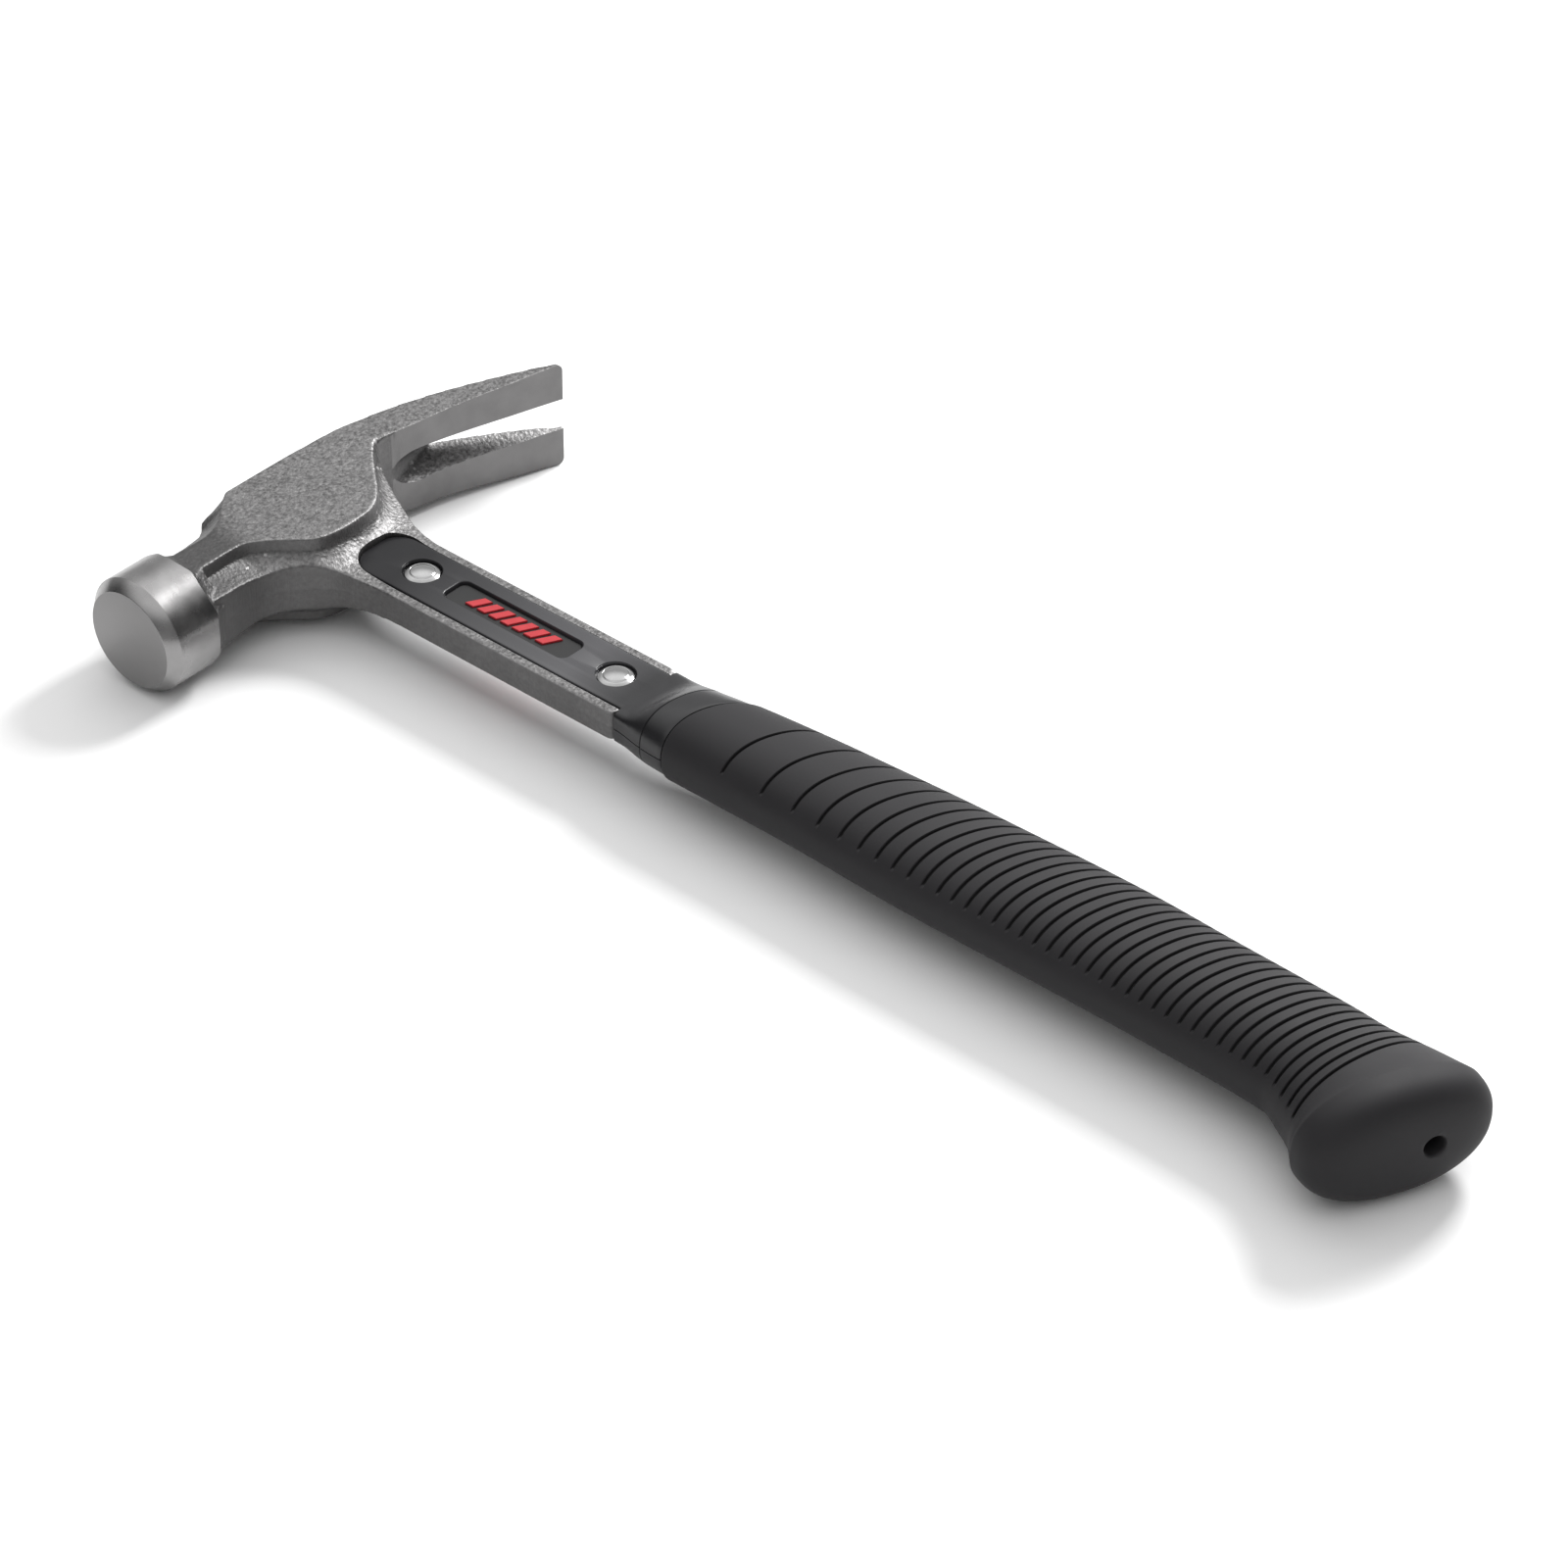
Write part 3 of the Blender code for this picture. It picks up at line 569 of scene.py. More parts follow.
THROAT = curve([(11.6, -47.5), (11.5, -44.2), (11.2, -38.0), (11.0, -33.4),
                (11.5, -27.6), (13.3, -22.8), (16.4, -18.7), (21.5, -14.7),
                (26.3, -12.9), (31.8, -11.8), (40.0, -TANG_W)], 0.9)
CROOK = curve([(42.0, TANG_W), (32.1, 11.4), (28.8, 11.5), (24.8, 12.1),
               (21.0, 13.1), (18.0, 14.5), (14.3, 16.1), (9.2, 18.5),
               (2.3, 22.0)], 0.9)
CROOK_TURN = curve([(-0.9, 23.7), (-2.0, 24.6), (-2.5, 25.8), (-2.4, 27.6)], 0.7)
UNDERSIDE = curve([(-1.9, 30.2), (-0.5, 35.6), (1.1, 43.8), (3.0, 51.0),
                   (5.0, 57.4), (7.1, 64.0), (9.1, 70.7), (10.7, 75.6)], 1.5)
TIP = [(11.15, TIP_Y), (10.35, TIP_Y)]
OUTER = curve([(9.3, 75.0), (7.3, 72.3), (3.6, 66.0), (1.1, 61.5),
               (-4.7, 50.3), (-7.7, 43.2), (-9.6, 38.0), (-11.2, 32.8),
               (-12.6, 27.6), (-13.4, 23.0), (-13.9, 15.0), (-14.3, 0.0),
               (-14.3, -14.6)], 1.5)
SHOULDER = [(-14.4, -16.0), (-14.5, -19.8), (-14.5, -23.1), (-13.3, -24.4), (-12.3, -26.4),
            (-12.0, -32.0), (-12.0, -40.0), (-12.0, -47.5)]
SHOULDER_H = [9.8, 8.1, 7.2, 5.6, 5.3, NECK_FLAT + 0.6, NECK_FLAT + 0.6, NECK_FLAT + 0.6]
FIELD = curve([(NECK_FLAT, -47.5), (4.3, -38.0), (4.2, -30.0), (4.8, -26.6),
               (7.6, -22.6), (12.2, -18.0), (15.6, -14.5), (17.2, -10.0),
               (17.6, -4.0), (17.0, 2.9), (15.2, 6.9), (11.0, 11.5),
               (6.3, 15.6), (1.5, 19.9)], 0.9)[:-1] + [(1.5, 19.9), (-0.9, 22.2)]
FIELD_BACK = curve([(-12.4, -17.5), (-10.2, -20.2), (-8.0, -22.7), (-5.6, -26.9), (-NECK_FLAT, -30.5),
                    (-NECK_FLAT, -38.0), (-NECK_FLAT, -47.5)], 1.5)
FOOT = offset_line(FIELD, 0.3)
RECESS_X0, RECESS_W, RECESS_R, RIM_H = 20.6, 8.95, 6.2, 4.35
GRIND = 0.35            # stock left on the claw for grinding


def recess_outline(shrink, n=10):
    w = RECESS_W - shrink
    x0 = RECESS_X0 + shrink
    r = max(RECESS_R - shrink, 0.3)
    pts = []
    for t in np.linspace(math.pi / 2, math.pi, n):
        pts.append((x0 + r + r * math.cos(t), (w - r) + r * math.sin(t)))
    for t in np.linspace(math.pi, math.pi * 1.5, n):
        pts.append((x0 + r + r * math.cos(t), -(w - r) + r * math.sin(t)))
    return pts + [(TANG_STEP_X + 5.0, -w), (TANG_STEP_X + 5.0, w)]


RECESS_FRONT = [(42.0, RECESS_W)] + recess_outline(0.0, 12)[:-2] + [(42.0, -RECESS_W)]


def claw_half(y):
    return np.interp(y, (27.0, 36.0, 44.0, 57.4, 70.7, TIP_Y),
                     (CHEEK_H, 12.4, 12.7, 13.6, 14.5, 15.0))


def rim_half(x):
    """Half thickness of the web along the rim of the recess."""
    return RIM_H + 1.9 * np.exp(-np.maximum(np.asarray(x, float) - RECESS_X0, 0.0) / 3.2)


def web_half(p):
    p = np.atleast_2d(np.asarray(p, float))
    lam = np.interp(p[:, 1], (-44.0, -37.0, -33.0, -27.0, -20.0), (22.0, 14.0, 11.0, 6.9, 4.5))
    d = line_dist(p, FOOT)
    h = TANG_H + (FOOT_H - TANG_H) * np.exp(-d / lam)
    e = line_dist(p, RECESS_FRONT)
    rim = rim_half(p[:, 0])
    g = rim + (FOOT_H - rim) * (e / (e + d + 1e-6)) ** 1.15
    k = 3.0                                  # blend of the two, without a crease
    m = np.minimum(h, g)
    return np.maximum(m - np.log(np.exp(-k * (h - m)) + np.exp(-k * (g - m))) / k + 0.0, TANG_H)


def build_head():
    pts, half, edges = [], [], []

    def add(p, h):
        pts.append(Vector(p))
        half.append(float(h))
        return len(pts) - 1

    loop = [add(p, h) for p, h in zip(THROAT, web_half(THROAT))]
    for x in np.arange(42.0, 106.0, 2.0):
        loop.append(add((x, -TANG_W), TANG_H))
    arc = [(TANG_STEP_X - 2.2 + 2.2 * math.sin(t), -TANG_W + 2.2 - 2.2 * math.cos(t))
           for t in np.linspace(0.0, math.pi / 2, 7)]
    for p in arc:
        loop.append(add(p, TANG_H))
    for x, y in arc[::-1]:
        loop.append(add((x, -y), TANG_H))
    for x in np.arange(104.0, 43.0, -2.0):
        loop.append(add((x, TANG_W), TANG_H))
    loop += [add(p, h) for p, h in zip(CROOK, web_half(CROOK))]
    turn_h = np.interp(np.arange(len(CROOK_TURN)), np.linspace(0, len(CROOK_TURN) - 1, 4),
                       (9.6, 10.4, 11.4, CHEEK_H))
    loop += [add(p, h) for p, h in zip(CROOK_TURN, turn_h)]
    for x, y in UNDERSIDE:
        loop.append(add((x + GRIND * smoothstep(y, 27.0, 34.0), y), claw_half(y)))
    for x, y in ((11.9, TIP_Y + 0.6), (10.5, TIP_Y + 0.6)):
        loop.append(add((x, y), claw_half(y)))
    for p in OUTER:
        loop.append(add(p, claw_half(p[1])))
    for i in range(len(SHOULDER)):
        if i:
            (x0, y0), (x1, y1) = SHOULDER[i - 1], SHOULDER[i]
            for f in (0.33, 0.67):
                loop.append(add((x0 + (x1 - x0) * f, y0 + (y1 - y0) * f),
                                SHOULDER_H[i - 1] * (1 - f) + SHOULDER_H[i] * f))
        loop.append(add(SHOULDER[i], SHOULDER_H[i]))
    field = [add(p, CHEEK_H) for p in FIELD]
    foot = [add(p, FOOT_H) for p in FOOT[:-1]]
    back = [add(p, CHEEK_H) for p in FIELD_BACK]
    for chain in (field, foot, back):
        edges += list(zip(chain, chain[1:]))

    outline = [tuple(pts[i])[:2] for i in loop]
    plateau = FIELD + CROOK_TURN + UNDERSIDE + TIP + OUTER + FIELD_BACK
    # web: points on a grid carry its hollow; claw: points carry its widening
    gx, gy = np.meshgrid(np.arange(-13.0, 46.0, 1.3), np.arange(-46.0, 76.0, 1.3), indexing="ij")
    g = np.stack([gx.ravel(), gy.ravel()], 1)
    g = g[inside(g, outline) & (line_dist(g, outline + outline[:1]) > 0.7)]
    flat = inside(g, plateau)
    web = g[~flat & (line_dist(g, FIELD) > 1.3) & ((g[:, 0] > 3.0) | (g[:, 1] > 12.0))
            & (line_dist(g, RECESS_FRONT) > 0.7)]
    for p, h in zip(web, web_half(web)):
        add(p, h)
    for p in recess_outline(-0.25, 16)[:-2]:
        add(p, rim_half(p[0]))
    for f in (0.2, 0.4, 0.6, 0.8):          # between the rim and the foot of the cheek
        for (x, y) in recess_outline(-0.25, 16)[3:-6]:
            q = min(FOOT, key=lambda v: (v[0] - x) ** 2 + (v[1] - y) ** 2)
            p = (x + (q[0] - x) * f, y + (q[1] - y) * f)
            if math.hypot(q[0] - x, q[1] - y) < 6.0:
                add(p, web_half(p)[0])
    claw = g[flat & (g[:, 1] > 24.0) & (line_dist(g, FIELD) > 1.0)]
    for p, h in zip(claw, claw_half(claw[:, 1])):
        add(p, h)

    vs, _es, fs, orig, _oe, _of = delaunay_2d_cdt(pts, edges, [loop], 1, 1e-4)
    bm = bmesh.new()
    top, bot = [], []
    for i, v in enumerate(vs):
        h = half[orig[i][0]] if orig[i] else float(web_half((v.x, v.y))[0])
        top.append(bm.verts.new((v.x, v.y, Z_MID + h)))
        bot.append(bm.verts.new((v.x, v.y, Z_MID - h)))
    count = {}
    for f in fs:
        bm.faces.new([top[i] for i in f])
        bm.faces.new([bot[i] for i in reversed(f)])
        for a, b in zip(f, list(f[1:]) + [f[0]]):
            count.setdefault((min(a, b), max(a, b)), []).append((a, b))
    for use in count.values():
        if len(use) == 1:
            a, b = use[0]
            bm.faces.new((top[b], top[a], bot[a], bot[b]))
    head = from_bm("head", bm)

    # eight-sided flare and the stock that the poll is turned from
    rings = []
    for y, r in ((-40.5, 11.0), (-42.0, 12.0), (-43.2, 12.35), (-44.3, 12.95), (-45.2, 13.75),
                 (-46.0, 14.8), (-46.6, 15.8), (-47.4, 16.6), (-63.0, 16.6)):
        ring = []
        for k in range(8):
            for f in (0.0, 0.25, 0.5, 0.75):
                t0 = math.radians(22.5 + 45 * k)
                t1 = math.radians(67.5 + 45 * k)
                q = r / math.cos(math.radians(22.5))
                ring.append((q * (math.cos(t0) * (1 - f) + math.cos(t1) * f), y,
                             Z_MID + q * (math.sin(t0) * (1 - f) + math.sin(t1) * f)))
        rings.append(ring)
    combine(head, loft("flare", rings), "UNION")

    # nail slot: wide at the underside, narrow outside
    e1, e2, o = Vector((0.27, 0.963)), Vector((0.963, -0.27)), Vector((-2.0, 29.0))

    def slot_ring(depth, start, w0, w1, nose):
        pts2 = [(start + nose * (1 - math.sin(t)), -w0 * math.cos(t))
                for t in np.linspace(0, math.pi, 19)]
        pts2 += [(60.0, w1), (60.0, -w1)]
        ring = []
        for s, z in pts2:
            q = o + e1 * s + e2 * depth
            ring.append((q.x, q.y, Z_MID + z))
        return ring

    slot = loft("slot", [slot_ring(2.5, -4.1, 6.0, 5.3, 10.0), slot_ring(-10.5, 18.0, 0.7, 0.4, 1.5)])
    combine(head, slot, "DIFFERENCE")
    # forged radii: an even skin, relaxed most where the die's corners were
    mod = head.modifiers.new("skin", "REMESH")
    mod.mode = "VOXEL"
    mod.voxel_size = 0.32
    apply_modifiers(head)

    def soft(co, k):
        y = co[:, 1]
        w = 1.0 - 0.62 * smoothstep(y, 28.0, 40.0)
        w *= 1.0 - 0.5 * smoothstep(y, 66.0, 74.0)
        tang = smoothstep(co[:, 0], 30.0, 44.0)
        w *= 1.0 - 0.80 * tang
        back = smoothstep(-co[:, 0], 4.0, 8.0) * smoothstep(y, -37.0, -34.0) * (1 - smoothstep(y, 20.0, 30.0))
        w *= 1.0 - 0.75 * back
        return w

    relax(head.data, soft, 9)
    # the trimmed parting line stands a little proud round the sides
    me = head.data
    co = coords(me)
    nrm = np.zeros(len(co) * 3)
    me.vertex_normals.foreach_get("vector", nrm)
    nrm = nrm.reshape(-1, 3)
    ridge = 0.10 * np.exp(-((co[:, 2] - Z_MID) / 0.55) ** 2)
    ridge *= smoothstep(-np.abs(nrm[:, 2]), -0.5, -0.2)
    ridge *= smoothstep(co[:, 1], -42.0, -38.0) * (1 - smoothstep(co[:, 1], 16.0, 22.0))
    ridge *= (co[:, 0] > 5.0)
    co[:, :2] += nrm[:, :2] * ridge[:, None]
    set_coords(me, co)

    # recess between the tang's rims
    for side in (1, -1):
        z0, z1 = sorted((Z_MID + side * 1.6, Z_MID + side * 14.0))
        ring = recess_outline(0.0, 10)
        cut = loft("recess", [[(x, y, z0) for x, y in ring], [(x, y, z1) for x, y in ring]])
        combine(head, cut, "DIFFERENCE")

    # grinding: the claw's underside and its tips, which have rounded corners
    ring = [(x, y) for x, y in UNDERSIDE] + [(11.15, TIP_Y), (9.0, TIP_Y), (9.0, 82.0), (30.0, 82.0),
                                             (30.0, 27.0), (UNDERSIDE[0][0] + 0.3, 27.0)]
    cut = loft("grind", [[(x, y, -5.0) for x, y in ring], [(x, y, 35.0) for x, y in ring]])
    combine(head, cut, "DIFFERENCE")
    for side in (1, -1):
        arc = [(TIP_Y - 2.0 + 2.0 * math.sin(t), 13.0 + 2.0 * math.cos(t)) for t in np.linspace(0, math.pi / 2, 9)]
        prof = [(y, Z_MID + side * z) for y, z in arc + [(79.0, 13.0), (79.0, 17.0), (TIP_Y - 2.0, 17.0)]]
        cut = loft("corner", [[(4.0, y, z) for y, z in prof], [(16.0, y, z) for y, z in prof]])
        combine(head, cut, "DIFFERENCE")
    # machining: everything outside the turned poll is removed
    prof = [(0, -66.0), (24.0, -66.0), (24.0, -43.6), (POLL_R, -43.6), (POLL_R, -58.22)]
    for t in (0.0, 0.5, 1.0):
        prof.append((POLL_R - 0.06 - 0.02 * t, -58.30 - 0.1 * t))
    prof += [(12.66, FACE_Y + 0.1), (12.6, FACE_Y + 0.04), (12.5, FACE_Y), (0, FACE_Y)]
    cutter = turned("cutter", prof, "Y", (0, 0, Z_MID), 224)
    combine(head, cutter, "DIFFERENCE")

    # hidden end of the tang, inside the handle
    w, h = 7.5, 3.6
    ring = [(TANG_STEP_X - 3.0, -w), (TANG_END_X - 4, -w), (TANG_END_X, -w + 4),
            (TANG_END_X, w - 4), (TANG_END_X - 4, w), (TANG_STEP_X - 3.0, w)]
    bar = loft("bar", [[(x, y, Z_MID - h) for x, y in ring], [(x, y, Z_MID + h) for x, y in ring]])
    combine(head, bar, "UNION")
    for x in (36.9, 99.3):
        hole = turned("hole", [(0, -8), (2.8, -8), (2.8, 8), (0, 8)], "Z", (x, 0, Z_MID), 40)
        combine(head, hole, "DIFFERENCE")

    # which faces were machined or ground
    me = head.data
    n = len(me.polygons)
    c = np.zeros(n * 3)
    me.polygons.foreach_get("center", c)
    c = c.reshape(-1, 3)
    nv = np.zeros(n * 3)
    me.polygons.foreach_get("normal", nv)
    nv = nv.reshape(-1, 3)
    r = np.hypot(c[:, 0], c[:, 2] - Z_MID)
    slot_index = np.zeros(n, np.int32)
    # on the cylinder, the chamfer or the face
    cyl = (np.abs(r - POLL_R) < 0.03) & (c[:, 1] < -43.5)
    slot_index[cyl | (c[:, 1] < -58.0)] = 1
    gx = np.interp(c[:, 1], [p[1] for p in UNDERSIDE] + [TIP_Y], [p[0] for p in UNDERSIDE] + [11.15])
    under = (c[:, 1] > 27.5) & (np.abs(c[:, 0] - gx) < 0.05) & (nv[:, 0] > 0.6)
    slot_index[under | (c[:, 1] > TIP_Y - 0.02)] = 2
    me.polygons.foreach_set("material_index", slot_index)
    return head


def keep_index(me):
    idx = np.zeros(len(me.polygons), np.int32)
    me.polygons.foreach_get("material_index", idx)
    return idx


head = build_head()
idx = keep_index(head.data)
finish(head, "hammer_head", [M_FORGED, M_MACHINED, M_GROUND], 32.0)
head.data.polygons.foreach_set("material_index", idx)
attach(head, "root")
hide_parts("head_forging")

# --------------------------------------------------------------------- grip
GX = (125.4, 140.0, 165.0, 200.0, 240.0, 270.0, 300.0, 308.3, 316.3, 321.1, 324.8)
GA = (13.13, 14.24, 15.59, 17.11, 17.56, 16.87, 16.6, 17.7, 19.45, 20.8, 21.3)
GB = (9.81, 9.69, 9.51, 9.8, 9.8, 10.17, 10.65, 11.7, 13.15, 13.95, 14.9)
GC = (-0.51, 0.38, 1.32, 1.59, 2.13, 1.54, 0.47, -1.7, -3.55, -4.9, -5.75)
GK = (0.0, 0.0, 0.0, 0.0, 0.0, 0.0, 0.1, 0.16, 0.26, 0.35, 0.46)
BUTT_DEPTH, BUTT_POWER = 10.3, 3.15
POWER = 2.25
# middle of each groove, and how far it leans and bows along the handle
GROOVES = (148.2, 160.3, 170.0, 177.8, 184.3, 190.1, 195.2, 200.0, 204.5, 208.7,
           212.9, 216.9, 220.8, 224.7, 228.5, 232.3, 236.0, 239.7, 243.4, 247.0,
           250.7, 254.3, 258.0, 261.6, 265.3, 268.9, 272.5, 276.1, 279.7, 283.3,
           286.9, 290.4, 293.8, 297.2, 300.5, 303.8, 307.1, 310.4, 313.6, 316.5)
LIP_X, LIP_LEAN, LIP_BOW = 130.6, 5.32, 2.43    # front edge of the rubber
LEAN = ((147.0, 177.0, 205.0, 248.0, 280.0, 317.0), (5.32, 6.07, 5.58, 5.1, 4.96, 5.12))
BOW = ((147.0, 177.0, 205.0, 248.0, 280.0, 317.0), (2.43, 3.11, 2.43, 1.73, 1.46, 0.62))
# height above the mid plane where the grooves run out at the sides
RUN_OUT = ((147.0, 250.0, 317.0), (5.15, 5.3, 5.2))
GROOVE_HALF, GROOVE_DEPTH = 0.42, 0.85
NT = 240


def leaning(x, C):
    """Stations of a ring that leans and bows like the rubber's front edge."""
    f = 1.0 - smoothstep(x, 132.0, 168.0)
    return x + f * (LIP_LEAN * C - LIP_BOW * (1 - C * C))


def core_section(pos, C, S, extra):
    """Outside of the core under the rubber."""
    a = np.minimum(pchip(pos, GX, GA) - 2.6, 15.2) + extra
    b = np.minimum(pchip(pos, GX, GB) - 2.1, 8.6) + extra
    c = np.maximum(pchip(pos, GX, GC), -1.0)
    return np.stack([pos, c + a * C, Z_MID + b * S], 1)


def build_grip():
    t = 2 * np.pi * np.arange(NT) / NT
    ct, st = np.cos(t), np.sin(t)
    C = np.sign(ct) * np.abs(ct) ** (2 / POWER)
    S = np.sign(st) * np.abs(st) ** (2 / POWER)
    s = np.linspace(GX[0] - 8.0, GX[-1], 2400)
    sa, sb, sc, sk = (pchip(s, GX, q) for q in (GA, GB, GC, GK))

    station = [s + sk * sa * c for c in C]

    def ring(X, depth=0.0, blend=1.0):
        """Ring leaning like the groove at X; depth is cut where grooves run."""
        lean = np.interp(X, *LEAN)
        bow = np.interp(X, *BOW)
        xt = X + lean * C - bow * (1 - C * C)
        out = np.zeros((NT, 3))
        pos = np.zeros(NT)
        for i in range(NT):
            pos[i] = np.interp(xt[i], station[i], s)
        if blend < 1.0:
            pos = pos * blend + GX[-1] * (1 - blend)
        a, b, c, k = (np.interp(pos, s, q) for q in (sa, sb, sc, sk))
        out[:, 0] = pos + k * a * C
        out[:, 1] = c + a * C
        out[:, 2] = b * S
        if depth:
            h = np.abs(out[:, 2])
            lo = np.interp(X, *RUN_OUT)
            cut = depth * smoothstep(h, lo - 0.7, lo + 0.6)
            nx = np.stack([np.zeros(NT), np.abs(C) ** (POWER - 1) * np.sign(C) / a,
                           np.abs(S) ** (POWER - 1) * np.sign(S) / b], 1)
            nx /= np.maximum(np.linalg.norm(nx, axis=1), 1e-9)[:, None]
            out -= nx * cut[:, None]
        out[:, 2] += Z_MID
        return out

    rings, dark = [], []

    def put(r, d=False):
        rings.append(r)
        dark.append(d)

    # inside of the sleeve, from the end of the core forward
    end = core_section(np.full(NT, 315.0), C, S, 0.25)
    cy = end[:, 1].mean()
    cap = end.copy()
    cap[:, 0] = 322.2
    cap[:, 1] = cy + (end[:, 1] - cy) * 0.81
    cap[:, 2] = Z_MID + (end[:, 2] - Z_MID) * 0.77
    put(cap)
    for x in (315.0, 308.0, 300.0, 290.0, 280.0, 260.0, 240.0, 220.0, 200.0, 185.0, 170.0, 160.0, 150.0,
              143.0, 138.0, 134.5, 132.0):
        put(core_section(leaning(x, C), C, S, 0.25))
    # rounded lip at the front
    r = 0.6
    for ang in np.linspace(0, math.pi / 2, 7):
        inset = r * (1 - math.sin(ang))
        pos = leaning(LIP_X + r * (1 - math.cos(ang)), C)
        put(np.stack([pos, pchip(pos, GX, GC) + (pchip(pos, GX, GA) - inset) * C,
                      Z_MID + (pchip(pos, GX, GB) - inset) * S], 1))
    # body with its grooves
    xs = [(x, 0.0) for x in np.arange(132.0, GROOVES[0] - 2.0, 1.6)]
    prof = [(-1.9, 0.0), (-1.35, 0.0), (-1.0, 0.0), (-0.8, 0.05), (-0.66, 0.22), (-0.56, 0.5), (-0.5, 1.0),
            (0.5, 1.0), (0.56, 0.5), (0.66, 0.22), (0.8, 0.05), (1.0, 0.0), (1.35, 0.0), (1.9, 0.0)]
    for i, g in enumerate(GROOVES):
        left = (g + GROOVES[i - 1]) / 2 if i else g - 3.0
        right = (g + GROOVES[i + 1]) / 2 if i + 1 < len(GROOVES) else g + 1.6
        row = []
        for u, d in prof:
            off = u * GROOVE_HALF / 0.66
            if left + 0.1 < g + off < right - 0.1:
                row.append((g + off, d * GROOVE_DEPTH))
        room = left - (xs[-1][0] if xs else left)
        lo = xs[-1][0]
        k = int((row[0][0] - lo) / 1.3)
        for j in range(1, k + 1):
            xs.append((lo + (row[0][0] - lo) * j / (k + 1), 0.0))
        xs += row
    for x, d in xs:
        put(ring(x, d), d > 0.4)
    last = xs[-1][0]
    # from the last groove to the butt's edge
    for f in np.linspace(0, 1, 12)[1:]:
        put(ring(last, 0.0, 1.0 - f))
    # domed end
    x0, a, b, c, k = GX[-1], GA[-1], GB[-1], GC[-1], GK[-1]
    q = 1 / math.hypot(1, k)
    degs = [0.6, 1.4, 2.5, 4.0, 6.0, 8.5, 11.5, 15, 19, 23.5, 28.5, 34, 40, 46, 52, 58, 64, 70, 76, 81, 85.5, 88.5]
    for deg in degs:
        f = math.cos(math.radians(deg)) ** (2 / BUTT_POWER)
        off = BUTT_DEPTH * math.sin(math.radians(deg)) ** (2 / BUTT_POWER)
        dy = a * f * C
        put(np.stack([x0 + k * dy + off * q, c + dy - off * q * k, Z_MID + b * f * S], 1))
    co = np.concatenate(rings)
    faces, mats = [], []
    for j in range(len(rings) - 1):
        a0, b0 = j * NT, (j + 1) * NT
        for i in range(NT):
            m = (i + 1) % NT
            faces.append((a0 + i, a0 + m, b0 + m, b0 + i))
            # painted shade: the groove bottoms above the run-out take the darker groove material
            deep = dark[j] and dark[j + 1]
            if deep:
                h = abs(rings[j][i][2] - Z_MID)
                deep = h > np.interp(rings[j][i][0], *RUN_OUT) - 0.25
            mats.append(1 if deep else 0)
    faces.append(tuple(range(NT))[::-1])
    m = (len(rings) - 1) * NT
    faces.append(tuple(range(m, m + NT)))
    mats += [0, 0]
    ob = from_arrays("grip", co, faces)
    ob.data.polygons.foreach_set("material_index", np.array(mats, np.int32))
    ob.data.materials.append(M_RUBBER)
    ob.data.materials.append(M_GROOVE_SHADE)
    bm = bmesh.new()
    bm.from_mesh(ob.data)
    bmesh.ops.recalc_face_normals(bm, faces=bm.faces)
    bm.to_mesh(ob.data)
    bm.free()
    # blind hole in the butt, with a small lead-in
    nx, ny = q, -q * k
    prof = [(-7.0, 2.6), (-0.5, 2.6), (-0.2, 2.68), (0.05, 2.9), (0.3, 3.3), (6.0, 3.3)]
    hr = []
    for d, rr in prof:
        hr.append([(336.4 + nx * d - ny * rr * math.cos(v), -4.7 + ny * d + nx * rr * math.cos(v),
                    Z_MID + rr * math.sin(v)) for v in 2 * np.pi * np.arange(48) / 48])
    hole = loft("blind", hr)
    hole.data.materials.append(M_RUBBER)
    combine(ob, hole, "DIFFERENCE")
    return ob


grip = build_grip()
idx = keep_index(grip.data)
finish(grip, "grip_rubber_sleeve", [M_RUBBER, M_GROOVE_SHADE], 35.0)
grip.data.polygons.foreach_set("material_index", np.minimum(idx, 1).astype(np.int32))
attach(grip, "root")
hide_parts("grip_sleeve")

# --------------------------------------------------------------------- core
BADGE_X0, BADGE_X1, BADGE_W = 46.9, 86.2, 4.1
RIVETS = (36.9, 99.3)


def stadium(x0, x1, w, r, n=8):
    pts = []
    for cx, cy, a0 in ((x1 - r, w - r, 0), (x0 + r, w - r, 90), (x0 + r, -w + r, 180), (x1 - r, -w + r, 270)):
        for d in np.linspace(a0, a0 + 90, n):
            v = math.radians(d)
            pts.append((cx + r * math.cos(v), cy + r * math.sin(v)))
    return pts


